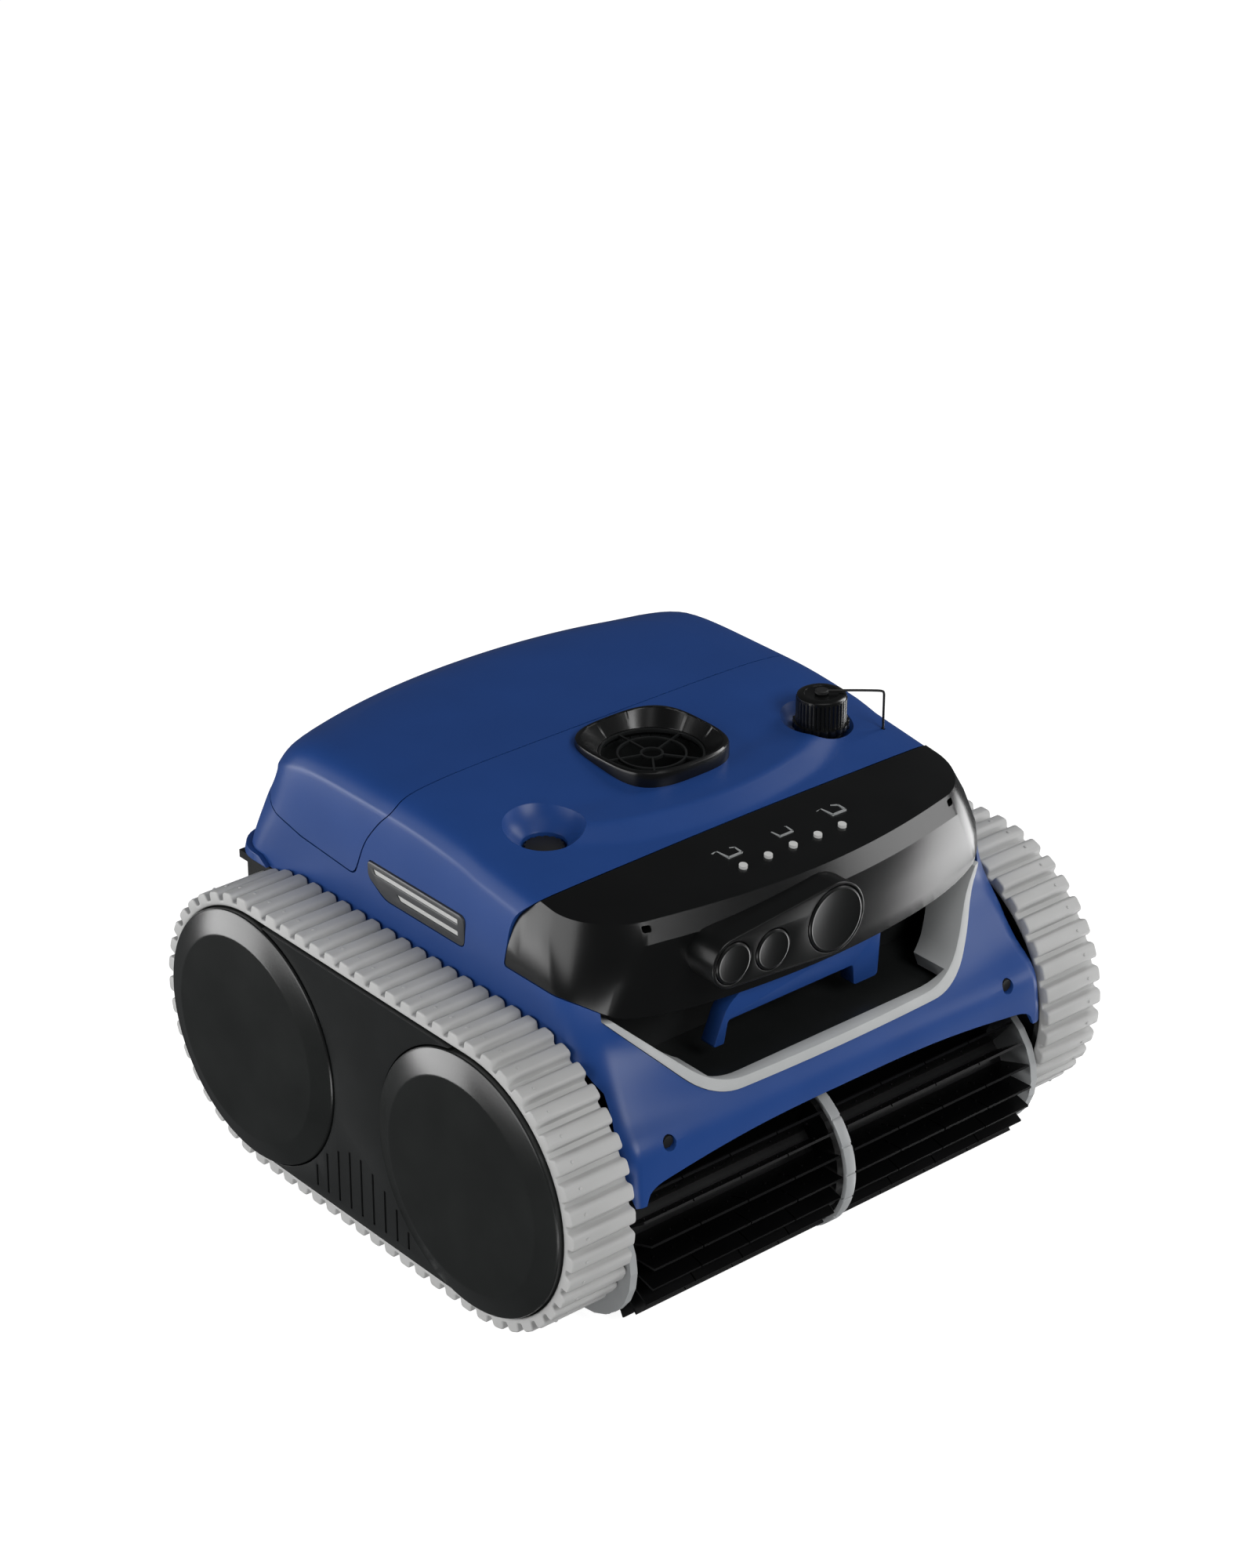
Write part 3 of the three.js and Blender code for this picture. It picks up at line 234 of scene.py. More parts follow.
def trim(piece, *tools, how="DIFFERENCE"):
    for tool in tools:
        cut = piece.modifiers.new("cut", "BOOLEAN")
        cut.operation, cut.object, cut.solver = how, tool, "EXACT"
        pick(piece)
        bpy.ops.object.modifier_apply(modifier=cut.name)
        bpy.data.objects.remove(tool)
    return piece


def soften(piece, width, segments=2, angle=35):
    edge = piece.modifiers.new("edge", "BEVEL")
    edge.width, edge.segments, edge.limit_method = width * MM, segments, "ANGLE"
    edge.angle_limit, edge.use_clamp_overlap = math.radians(angle), True
    pick(piece)
    bpy.ops.object.modifier_apply(modifier=edge.name)
    return piece


def done(piece, name, body, paint, stands_for=(), smooth=32):
    piece.name = piece.data.name = name
    piece.data.materials.clear()
    piece.data.materials.append(paint)
    pick(piece)
    bpy.ops.object.shade_smooth_by_angle(angle=math.radians(smooth))
    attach(piece, body)
    for node in stands_for:
        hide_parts(node)
    return piece


# ---------- finishes ----------
def moulded(name, colour, roughness, grain=900, depth=0.05, mottle=0.06, metal=0.0, level=0.5):
    """Moulded or turned stock: an even colour with faint mottling, a fine grain and uneven gloss."""
    paint = bpy.data.materials.new(name)
    paint.use_nodes = True
    nodes, links = paint.node_tree.nodes, paint.node_tree.links
    shader = nodes["Principled BSDF"]
    shader.inputs["Metallic"].default_value = metal
    shader.inputs["Specular IOR Level"].default_value = level
    place = nodes.new("ShaderNodeTexCoord")
    cloud = nodes.new("ShaderNodeTexNoise")
    cloud.inputs["Scale"].default_value = 28
    cloud.inputs["Detail"].default_value = 6
    fine = nodes.new("ShaderNodeTexNoise")
    fine.inputs["Scale"].default_value = grain
    fine.inputs["Detail"].default_value = 3
    for texture in (cloud, fine):
        links.new(place.outputs["Object"], texture.inputs["Vector"])
    shades = nodes.new("ShaderNodeValToRGB")
    for stop, position, factor in zip(shades.color_ramp.elements, (0.3, 0.7), (1 - mottle, 1 + mottle)):
        stop.position = position
        stop.color = (*(min(1, c * factor) for c in colour), 1)
    links.new(cloud.outputs["Fac"], shades.inputs["Fac"])
    links.new(shades.outputs["Color"], shader.inputs["Base Color"])
    rough = nodes.new("ShaderNodeMapRange")
    rough.inputs["To Min"].default_value = roughness * 0.85
    rough.inputs["To Max"].default_value = roughness * 1.15
    links.new(cloud.outputs["Fac"], rough.inputs["Value"])
    links.new(rough.outputs["Result"], shader.inputs["Roughness"])
    bump = nodes.new("ShaderNodeBump")
    bump.inputs["Strength"].default_value = depth
    bump.inputs["Distance"].default_value = 0.0004
    links.new(fine.outputs["Fac"], bump.inputs["Height"])
    links.new(bump.outputs["Normal"], shader.inputs["Normal"])
    return paint


def glowing(name, colour, strength):
    paint = moulded(name, colour, 0.3, depth=0.0, mottle=0.02)
    shader = paint.node_tree.nodes["Principled BSDF"]
    shader.inputs["Emission Color"].default_value = (*colour, 1)
    shader.inputs["Emission Strength"].default_value = strength
    return paint


shell_blue = moulded(
    "shell_blue", (0.0145, 0.054, 0.215), 0.36,
    grain=1100, depth=0.04, mottle=0.03, level=0.26,
)
bezel_black = moulded(
    "bezel_black", (0.0036, 0.0038, 0.0038), 0.23,
    depth=0.01, mottle=0.1, level=0.42,
)
panel_black = moulded("panel_black", (0.0042, 0.0045, 0.0045), 0.3, depth=0.03, level=0.3)
disc_black = moulded(
    "disc_black", (0.0115, 0.0125, 0.012), 0.24,
    grain=700, depth=0.06, mottle=0.14,
)
cover_black = moulded(
    "cover_black", (0.0105, 0.0115, 0.0115), 0.34,
    grain=800, depth=0.06, mottle=0.12,
)
lamp_surround = moulded("lamp_surround", (0.05, 0.052, 0.055), 0.35)
belt_rubber = moulded(
    "belt_rubber", (0.44, 0.44, 0.435), 0.55,
    grain=500, depth=0.1, mottle=0.04,
)
blade_rubber = moulded(
    "blade_rubber", (0.0016, 0.0016, 0.0018), 0.34,
    grain=600, depth=0.08, mottle=0.2, level=0.25,
)
seal_rubber = moulded("seal_rubber", (0.005, 0.005, 0.005), 0.6, grain=500, depth=0.1)
grip_grey = moulded("grip_grey", (0.42, 0.43, 0.43), 0.4, grain=800, depth=0.04)
plate_grey = moulded("plate_grey", (0.36, 0.37, 0.375), 0.42, grain=700, depth=0.05)
lamp_white = glowing("lamp_white", (0.5, 0.5, 0.49), 0.12)
# The mode marks are no lamp: their faint emission is a painted glow that lightens them as if lit.
marks_painted_glow = glowing("marks_painted_glow", (0.3, 0.31, 0.31), 0.06)
basket_smoke = moulded("basket_smoke", (0.08, 0.09, 0.095), 0.3)
steel = moulded("steel", (0.6, 0.61, 0.62), 0.28, grain=400, depth=0.05, metal=1.0)
board_green = moulded("board_green", (0.01, 0.09, 0.035), 0.45)

SLOT_PAINT = {
    "blue_shell": shell_blue,
    "gloss_black": bezel_black,
    "satin_black": cover_black,
    "track_rubber": belt_rubber,
    "brush_rubber": blade_rubber,
    "grey_plastic": plate_grey,
    "white_lens": lamp_white,
    "smoked_plastic": basket_smoke,
    "steel": steel,
    "circuit_board": board_green,
}
slot_of = {part["node"]: part["material_slot"] for part in frame["record"]["subparts"]}
for node, piece in frame["nodes"].items():
    piece.data.materials.clear()
    dark = "fascia_screw" in node or "brush_support" in node
    piece.data.materials.append(seal_rubber if dark else SLOT_PAINT[slot_of[node]])

# ---------- body form ----------
# z, half width, front reach, front fall at the sides, rear fall at the sides, corner share
LEVELS = [
    (88, SHELL_HALF, 188, 1.5, 10, 0.05),
    (105, SHELL_HALF, 187, 2, 10, 0.05),
    (122.5, SHELL_HALF, 185.5, 4, 10, 0.06),
    (137, SHELL_HALF, 177.5, 10, 10, 0.08),
    (155, SHELL_HALF, 170.5, 17, 10, 0.1),
    (172, SHELL_HALF - 0.3, 164.6, 24, 12, 0.12),
    (188, SHELL_HALF - 1.4, 164, 26.5, 16, 0.15),
    (205, SHELL_HALF - 2.6, 166, 27, 21.5, 0.19),
]
TOP_EDGE = (SHELL_HALF - 6.6, TOP_FRONT, 27, 25, 0.23)
# share of the top edge's plan, depth under the crown
SHOULDER = [(1, 8), (0.962, 2.2), (0.9, 0.4), (0.78, 0)]
CHAMFER = [(0.99, 11.2), (0.957, 0.6), (0.9, 0.2), (0.78, 0)]


def rounded_unit(share, side, corner):
    """A square from -1 to 1 whose corners are rounded over a share of its half."""
    straight = 1 - share
    quarter = [(1, straight * i / side) for i in range(side)]
    for i in range(corner + 1):
        angle = math.pi / 2 * i / corner
        quarter.append((straight + share * math.cos(angle), straight + share * math.sin(angle)))
    quarter += [(straight * (1 - i / side), 1) for i in range(1, side)]
    points = []
    for _ in range(4):
        points += quarter
        quarter = [(-v, u) for u, v in quarter]
    return points


def plan_point(u, v, half, front, front_fall, rear_fall):
    """A point of the unit square laid out in plan, with its front and rear edges bowed."""
    reach = SHELL_REAR - rear_fall * u * u if v > 0 else front - front_fall * u * u
    return half * u, v * reach


def eased(value, low, high):
    """A smooth rise from 0 at low to 1 at high."""
    t = min(1, max(0, (value - low) / (high - low)))
    return t * t * (3 - 2 * t)


def deck_step(x, y):
    """The shallow facet where the flat deck drops towards the bezel, curving back into the dishes."""
    corner = 42
    dx = max(0, abs(x) - (103 - corner))
    dy = max(0, -y - (79 - corner))
    distance = math.hypot(dx, dy) - corner
    fade = eased(-y, 38, 62)
    return fade * (0.3 * min(16, max(0, distance)) - 0.1 * min(30, max(0, distance + 30)))


def crown_height(u, v):
    """The height of the body's top over a point of the unit square."""
    y = v * TOP_FRONT if v < 0 else v * SHELL_REAR
    ahead = max(0, 30 - y)
    behind = max(0, y - 40) / 145
    front = math.hypot(0.125 * ahead, 6) - 6
    facet = deck_step(u * TOP_HALF, y) if v < 0 else 0
    return SHELL_TOP - front - 34 * behind**6 - 5 * abs(u) ** 6 - facet


def between(rings, steps):
    """Rings drawn through the given ones on smooth lines, `steps` to each gap."""
    dense = []
    for i in range(len(rings) - 1):
        four = [rings[max(0, i - 1)], rings[i], rings[i + 1], rings[min(len(rings) - 1, i + 2)]]
        for k in range(steps):
            t = k / steps
            row = []
            for p0, p1, p2, p3 in zip(*four):
                spans = [max(1e-3, math.sqrt(math.dist(a, b))) for a, b in ((p0, p1), (p1, p2), (p2, p3))]
                point = []
                for c0, c1, c2, c3 in zip(p0, p1, p2, p3):
                    m1 = (c2 - c0) / (spans[0] + spans[1]) if i else (c2 - c1) / spans[1]
                    m2 = (c3 - c1) / (spans[1] + spans[2]) if i + 2 < len(rings) else (c2 - c1) / spans[1]
                    h = spans[1]
                    point.append(
                        (2 * t**3 - 3 * t * t + 1) * c1 + (t**3 - 2 * t * t + t) * h * m1
                        + (3 * t * t - 2 * t**3) * c2 + (t**3 - t * t) * h * m2
                    )
                row.append(tuple(point))
            dense.append(row)
    dense.append(rings[-1])
    return dense


def wrapped(rings):
    """A grid rolled up through rings of points and closed at both ends."""
    columns, rows = len(rings[0]), len(rings)
    pick()
    bpy.ops.mesh.primitive_grid_add(x_subdivisions=columns, y_subdivisions=rows - 1, size=1)
    piece = bpy.context.object
    for vertex in piece.data.vertices:
        column = round((vertex.co.x + 0.5) * columns) % columns
        row = round((vertex.co.y + 0.5) * (rows - 1))
        vertex.co = [value * MM for value in rings[row][column]]
    edit_all(piece)
    bpy.ops.mesh.remove_doubles(threshold=MERGE)
    bpy.ops.mesh.fill_holes(sides=0)
    close_edit()
    return piece


def body_form(inset, foot=0, side=13, corner=9, steps=4, crowns=40, shoulder=SHOULDER):
    """The body's outside, taken in by `inset`; its top meets its sides in the shoulder's rings."""

    def level(plan, height):
        row = []
        for u, v in rounded_unit(plan[-1], side, corner):
            x, y = plan_point(u, v, *plan[:-1])
            x -= inset * math.copysign(abs(u) ** 6, u)
            y -= inset * math.copysign(abs(v) ** 6, v)
            row.append((x, y, height(u, v)))
        return row

    def low_edge(u, v):
        return max(crown_height(u, v) - 13, 206) - inset * 0.4

    rings = [level(plan, lambda u, v, z=z: z) for z, *plan in LEVELS]
    if shoulder is SHOULDER:
        half, front, *rest = TOP_EDGE
        rings.append(level((half + 1.6, front + 2, *rest), low_edge))
    rim = level(TOP_EDGE, lambda u, v: 0)
    unit = rounded_unit(TOP_EDGE[-1], side, corner)

    def crown_ring(share, drop):
        return [
            (x * share, y * share, crown_height(u * share, v * share) - drop - inset)
            for (u, v), (x, y, _) in zip(unit, rim)
        ]

    rings += [crown_ring(share, drop) for share, drop in shoulder]
    rings = between(rings, steps)
    rings += [crown_ring(0.78 - 0.48 * (i + 1) / crowns, 0) for i in range(crowns)]
    rings += [crown_ring(share, 0) for share in (0.24, 0.17, 0.1, 0.04)]
    rings[0] = [(x, y, z - foot) for x, y, z in rings[0]]
    return wrapped(rings)


def hollow(inset, foot=20, steps=2, shoulder=SHOULDER):
    """The coarser form that takes the body's inside away."""
    return body_form(inset, foot, side=7, corner=5, steps=steps, crowns=12, shoulder=shoulder)


def across(outline):
    """A cutter with its outline in Y and Z that reaches right across the body."""
    return plate("x", outline, -FAR, FAR)


def lid_side(d):
    """The lid's region seen from the side, taken in by d at its seam."""
    return rounded([
        (SEAM_Y + d, FAR), (SEAM_Y + d, 247, 14), (39 + d, 237, 10), (52.7 + d, 219, 8),
        (61 + d, 195.5 + d, 5), (113, 199 + d), (137, 203.5 + d), (157, 209 + d), (230, 213 + d), (230, FAR),
    ])


def bezel_side(d):
    """The bezel's region seen from the side, grown by d."""
    return rounded([
        (-75 + d, 195.5 - d, 3), (-134, 195.5 - d, 16), (-150, BAR_BOTTOM - d, 8), (-260, BAR_BOTTOM - d),
        (-260, 262 + d), (-100 + d, 262 + d), (-100 + d, 246, 5), (-79 + d, 226, 10),
    ])


def grip_outline(d):
    """The hand grip's mouth seen from the front, taken in by d."""
    return rounded([
        (-93 + d, 133 + d, 20), (93 - d, 133 + d, 20),
        (142 - d, 184), (142 - d, 192), (-142 + d, 192), (-142 + d, 184),
    ], 10)


SHELL_FOOT = [
    (190, 167), (98.9, 167.7), (23.9, 171.5), (-19, 171.6), (-61, 169.7), (-116, 166), (-142, 159.6),
    (-155, 150), (-168, 131.5), (-178, 111.5), (-184.5, 92), (-FAR, 92), (-FAR, 0), (190, 0),
]
BRUSH_ARCH = [
    (-150, 60), (-148, 92), (-144.5, 101.5, 12), (-90, 109, 30), (-45, 112, 30), (45, 112, 30), (90, 109, 30),
    (144.5, 101.5, 12), (148, 92), (150, 60),
]
LIGHT_BOX = [(-40, 191, 5), (32, 191, 5), (48, 200, 3), (48, 210, 3), (-40, 210, 5)]


def grown(outline, d):
    """An outline with its points moved out from its middle by d."""
    middle = [sum(p[k] for p in outline) / len(outline) for k in (0, 1)]
    return [
        (a + math.copysign(d, a - middle[0]), b + math.copysign(d, b - middle[1]), *radius)
        for a, b, *radius in outline
    ]


def knuckle(outline, x, half):
    """A hinge plate round x whose rounded end sits on the lid's pin."""
    low, high = x - half, x + half
    return trim(plate("x", rounded(outline), low, high), rod("x", 5, low, high, HINGE), how="UNION")


outer = body_form(0)
wall = trim(copy_of(outer), hollow(SHELL_WALL))

# ---------- lid ----------
lid = trim(copy_of(wall), across(lid_side(SEAM_GAP / 2)), how="INTERSECT")
for s in (1, -1):
    lug_side = [(176, 219), (182, 222, 3), (188.5, 208.5, 3), (183.5, 208)]
    trim(lid, knuckle(lug_side, s * LID_LUG_X, LID_LUG_HALF), how="UNION")
done(lid, "lid_skin", "lid", shell_blue, ["lid"])

# ---------- shell ----------
shell = wall
lining = body_form(SHELL_WALL / 2, crowns=12)
for s in (1, -1):
    dish = (s * DISH[0], DISH[1])
    cup = turned(
        "z",
        [(0, 226), (DISH_HOLE + 3, 226), (DISH_HOLE + 3, 238), (DISH_RADIUS + 6, 252), (DISH_RADIUS + 6, 264),
         (0, 264)],
        dish,
    )
    trim(cup, copy_of(lining), how="INTERSECT")
    trim(shell, cup, how="UNION")
    bowl = turned(
        "z",
        [(0, 226), (DISH_HOLE, 226), (DISH_HOLE, 241.6), (DISH_HOLE + 0.8, 242.6), (18, 246), (21.3, 249.2),
         (23.6, 252.6), (25.4, 255.4), (28, 257.4), (30, 270), (0, 270)],
        dish,
        72,
    )
    trim(shell, bowl)
    boss = rod("y", 6.5, -185, -169, (s * SCREW_X, SCREW_Z))
    trim(shell, trim(boss, copy_of(lining), how="INTERSECT"), how="UNION")
trim(
    shell,
    across(lid_side(-SEAM_GAP / 2)),
    across(bezel_side(0.4)),
    across(SHELL_FOOT),
    plate("y", rounded(BRUSH_ARCH), -FAR, -120),
    plate("y", grip_outline(0), -FAR, -130),
    rod("z", OUTLET_BORE + 6.2, 230, 270, (0, OUTLET_Y), 96),
    rod("z", 1.4, 230, 270, TETHER_FOOT, 16),
)
for s in (1, -1):
    trim(
        shell,
        rod("y", 4.3, -200, -150, (s * SCREW_X, SCREW_Z), 40),
        plate("x", rounded(grown(LIGHT_BOX, 0.4)), *sorted((s * 140, s * 180))),
        block(s * LID_LUG_X - LID_LUG_HALF - 0.6, s * LID_LUG_X + LID_LUG_HALF + 0.6, 178, 192, 200, 214),
    )
done(shell, "shell_skin", "chassis", shell_blue, ["top_shell"])
lip = trim(body_form(-3.2, crowns=12), hollow(0.6))
trim(lip, across([(142, 167.8), (FAR, 167), (FAR, 172), (150, 172.6)]), how="INTERSECT")
done(soften(lip, 0.6), "shell_lip", "chassis", shell_blue)
ears = []
for s in (1, -1):
    ears.append(knuckle([(174, 186), (180, 186, 2), (188, 203, 3), (174, 203)], s * EAR_X, EAR_HALF))
done(soften(joined(*ears), 0.5), "hinge_ears", "chassis", shell_blue)

# ---------- bezel ----------
bezel = body_form(0, corner=20, steps=1, shoulder=CHAMFER)
bar_end = [(-150, BAR_BOTTOM), (150, BAR_BOTTOM), (150, 188), (-150, 188)]
floor_bar = trim(plate("y", bar_end, -FAR, -128), copy_of(bezel), how="INTERSECT")
trim(bezel, hollow(BEZEL_WALL, steps=1, shoulder=CHAMFER))
trim(bezel, floor_bar, how="UNION")
trim(bezel, across(bezel_side(-0.4)), how="INTERSECT")
for x, y, z in ((0, -164, 231.8), (-113.4, -150, 232.7), (113.4, -150, 232.7)):
    hole = [(x + a * 2.6, z + b * 1.8, 1.4) for a, b in ((-1, -1), (1, -1), (1, 1), (-1, 1))]
    trim(bezel, plate("y", rounded(hole), y - 12, y + 14))
done(bezel, "bezel_skin", "chassis", bezel_black, ["front_bezel"], 18)


# ---------- mode marks ----------
def stroke(points, width, lift):
    """A flat raised line through points on the bezel's top."""
    strips = []
    for (ax, ay), (bx, by) in zip(points, points[1:]):
        along = Vector((bx - ax, by - ay)).normalized() * width / 2
        start = (ax - along.x, ay - along.y)
        stop = (bx + along.x, by + along.y)
        corners = ((start, -1), (stop, -1), (stop, 1), (start, 1))
        outline = [(x - way * along.y, y + way * along.x) for (x, y), way in corners]
        strips.append(plate("z", outline, 0, lift))
    return strips


marks = []
for x, tick in ((-34, 0), (4, 2.5), (44, 5)):
    tip = (3.5 - tick / 5, 3.5 + tick / 5)
    hook = stroke([(-8.5, 4.5), (-5, 5.5), (-4, -4), (5.5, -4), (6, 2.5), tip], 0.9, 2.4)
    sunk = crown_height(x / TOP_HALF, MARK_Y / TOP_FRONT) - 2.1
    for strip in hook:
        strip.data.transform(Matrix.Translation((x * MM, MARK_Y * MM, sunk * MM)))
    marks += hook
# The marks carry a painted glow from their material, not light from a lamp.
done(joined(*marks), "mode_marks", "chassis", marks_painted_glow)
bpy.data.objects.remove(outer)
bpy.data.objects.remove(lining)


# ---------- button pod ----------
def pod_outline(ar=15, br=22, steps=16):
    """Two arcs of radius ar and br round the first and the last button."""
    (_, ax, az, _), (_, bx, bz, _) = BUTTONS[0], BUTTONS[-1]
    lean = math.atan2(bz - az, bx - ax)
    tilt = math.acos((ar - br) / math.hypot(bx - ax, bz - az))
    points = []
    for x, z, r, start, end in ((bx, bz, br, -tilt, tilt), (ax, az, ar, tilt, 2 * math.pi - tilt)):
        for i in range(steps):
            angle = lean + start + (end - start) * i / (steps - 1)
            points.append((x + r * math.cos(angle), z + r * math.sin(angle)))
    return points


pod = plate("y", pod_outline(), POD_FACE, -150)
for name, x, z, r in BUTTONS:
    trim(pod, rod("y", r + 0.4, POD_FACE - 5, POD_FACE + 6.5, (x, z), 64))
soften(pod, 0.7, 3, 40)
done(pod, "pod_housing", "chassis", panel_black, ["button_pod"])
for name, x, z, r in BUTTONS:
    button = turned(
        "y",
        [(0, POD_FACE + 4.2), (r, POD_FACE + 4.2), (r, POD_FACE + 0.2), (r - 0.5, POD_FACE - 0.5),
         (r - 1.4, POD_FACE - 0.8), (r - 2.4, POD_FACE - 0.5), (0, POD_FACE - 0.4)],
        (x, z),
        72,
    )
    done(button, name + "_key", name, panel_black, [name])

# ---------- grip: trim and insert ----------
band = trim(body_form(-0.9, 5, crowns=12), hollow(27, 40))
trim(band, block(-90, 90, -169, -100, 90, 150))
loop = trim(plate("y", grip_outline(0.3), -FAR, -131), plate("y", grip_outline(5), -FAR, -100))
trim(band, loop, how="INTERSECT")
trim(band, across(bezel_side(0.5)), block(-FAR, FAR, -FAR, FAR, BAR_BOTTOM + 3.4, FAR))
done(soften(band, 0.7, 2, 50), "grip_trim", "chassis", grip_grey, ["handle_trim"])

insert_outline = rounded([
    (-69.5, 143.5, 2), (-61.5, 143.5, 1), (-58.5, 157.5, 2), (35.5, 157.5, 2), (36.5, 144, 2),
    (55, 144, 3), (57, 176, 4), (-46, 176, 6), (-60, 166, 6),
])
insert = plate("y", insert_outline, -150.5, -139)
done(soften(insert, 0.8), "grip_insert", "chassis", shell_blue, ["handle_insert"])


# ---------- outlet ----------
def squared(half, power, z, steps=96):
    """A ring of points between a circle (power 2) and a square."""
    points = []
    for i in range(steps):
        angle = 2 * math.pi * i / steps
        reach = half / (abs(math.cos(angle)) ** power + abs(math.sin(angle)) ** power) ** (1 / power)
        points.append((reach * math.cos(angle), OUTLET_Y + reach * math.sin(angle), z))
    return points


surround = wrapped([
    squared(OUTLET_HALF - 4.5, 3.2, 247),
    squared(OUTLET_HALF - 4.5, 3.2, 259.4),
    squared(OUTLET_HALF - 5, 3.2, 260.7),
    squared(OUTLET_HALF - 6, 3.2, 261.4),
    squared(OUTLET_HALF - 7.6, 3, 261.4),
])
throat = wrapped([
    squared(OUTLET_BORE, 2, 240),
    squared(OUTLET_BORE, 2, 253),
    squared(OUTLET_HALF - 7.2, 3, 261),
    squared(OUTLET_HALF - 7.2, 3, 266),
])
trim(surround, throat)
soften(surround, 0.4, 2, 40)
done(surround, "outlet_surround", "chassis", bezel_black, ["outlet_ring"])
neck = ring("z", OUTLET_BORE, OUTLET_BORE + 5.8, 226, 248, (0, OUTLET_Y))
done(neck, "outlet_neck", "chassis", cover_black)
grille = ring("z", OUTLET_BORE - 1.6, OUTLET_BORE - 0.2, 250.4, 252.6, (0, OUTLET_Y), 96)
hoops = [ring("z", inside, inside + 1.2, 250.6, 252.4, (0, OUTLET_Y)) for inside in (19.2, 5.6)]
spokes = []
for i in range(5):
    spoke = block(6.2, OUTLET_BORE - 1, -0.6, 0.6, 250.8, 252.2)
    turn = Matrix.Rotation(math.radians(72 * i + 17), 4, "Z")
    spoke.data.transform(Matrix.Translation((0, OUTLET_Y * MM, 0)) @ turn)
    spokes.append(spoke)
trim(grille, *hoops, *spokes, how="UNION")
done(soften(grille, 0.25), "outlet_guard", "chassis", cover_black, ["outlet_grille"])


# ---------- charging cap, its tether, and the plug ----------
def knurled(radius, depth, count, low, high, centre):
    """A disc with `count` flutes of a given depth round its edge."""
    outline = []
    for i in range(4 * count):
        reach = radius - (0, depth * 0.15, depth, depth * 0.15)[i % 4]
        angle = 2 * math.pi * i / (4 * count)
        outline.append((centre[0] + reach * math.cos(angle), centre[1] + reach * math.sin(angle)))
    return plate("z", outline, low, high)


cap = knurled(15, 0.8, 36, 251, CAP_TOP - 2.4, DISH)
trim(
    cap,
    turned(
        "z",
        [(0, CAP_TOP - 3), (14.6, CAP_TOP - 3), (14.4, CAP_TOP - 1), (12.9, CAP_TOP - 0.2), (10.2, CAP_TOP),
         (9.8, CAP_TOP - 0.6), (0, CAP_TOP - 0.6)],
        DISH,
    ),
    knurled(16.8, 1.2, 20, 247.4, 251.2, DISH),
    rod("z", 12.4, 230, 249, DISH),
    how="UNION",
)
done(soften(cap, 0.5, 2, 50), "charge_cap_body", "charge_cap", bezel_black, ["charge_cap"], 25)
tether_points = [
    (*DISH, CAP_TOP + 1.2),
    (DISH[0] + 10, DISH[1] - 7.6, CAP_TOP + 1.2),
    (TETHER_FOOT[0] - 5, TETHER_FOOT[1] + 3.8, CAP_TOP + 0.6),
    (TETHER_FOOT[0] - 0.8, TETHER_FOOT[1] + 0.6, CAP_TOP + 0.2),
    (*TETHER_FOOT, CAP_TOP - 1),
    (*TETHER_FOOT, CAP_TOP - 5),
    (*TETHER_FOOT, 244),
]
line = bpy.data.curves.new("tether_line", "CURVE")
line.dimensions, line.use_fill_caps = "3D", True
line.bevel_depth, line.bevel_resolution = 0.75 * MM, 4
path = line.splines.new("NURBS")
path.points.add(len(tether_points) - 1)
for point, place in zip(path.points, tether_points):
    point.co = (*(value * MM for value in place), 1)
path.use_endpoint_u, path.order_u, path.resolution_u = True, 3, 12
tether = bpy.data.objects.new("tether_line", line)
bpy.context.scene.collection.objects.link(tether)
pick(tether)
bpy.ops.object.convert(target="MESH")
tether = bpy.context.object
collar = turned(
    "z",
    [(0, CAP_TOP + 0.2), (4, CAP_TOP + 0.2), (4, CAP_TOP + 1.6), (3.4, CAP_TOP + 2), (0, CAP_TOP + 2)],
    DISH,
    32,
)
done(joined(tether, collar), "tether_cord", "chassis", seal_rubber, ["cap_tether"])

plug_place = (-DISH[0], DISH[1])
plug = rod("z", 12.7, 228, 236, plug_place)
trim(plug, knurled(11.4, 1.2, 16, 235.5, 240.4, plug_place), how="UNION")
done(soften(plug, 0.4), "plug_body", "chassis", seal_rubber, ["vent_plug"])

# ---------- side lights ----------
LIGHT_BARS = [
    [(-34, 203.5), (41, 203.5), (43, 206.5), (-34, 206.5)],
    [(-34, 196), (18, 196), (21, 199), (-34, 199)],
]
for side, s in (("left", 1), ("right", -1)):
    node = side + "_side_light"
    housing = plate("x", rounded(LIGHT_BOX), *sorted((s * 150.9, s * 155.9)))
    for bar in LIGHT_BARS:
        trim(housing, plate("x", bar, *sorted((s * 145, s * 160))))
    done(soften(housing, 0.5), side + "_light_frame", "chassis", lamp_surround, [node])
    lens = [plate("x", grown(bar, -0.25), *sorted((s * 149, s * 155.3))) for bar in LIGHT_BARS]
    done(joined(*lens), side + "_light_bars", "chassis", lamp_white, [node + "_lens"])


# ---------- belts ----------
LUG_RISE = [(-5.6, 0), (-5, 0.7), (-4.7, 2.8), (-4.2, 4.3), (-3.2, 5.1), (-2, LUG_HEIGHT)]
LUG = LUG_RISE + [(-s, h) for s, h in reversed(LUG_RISE)]


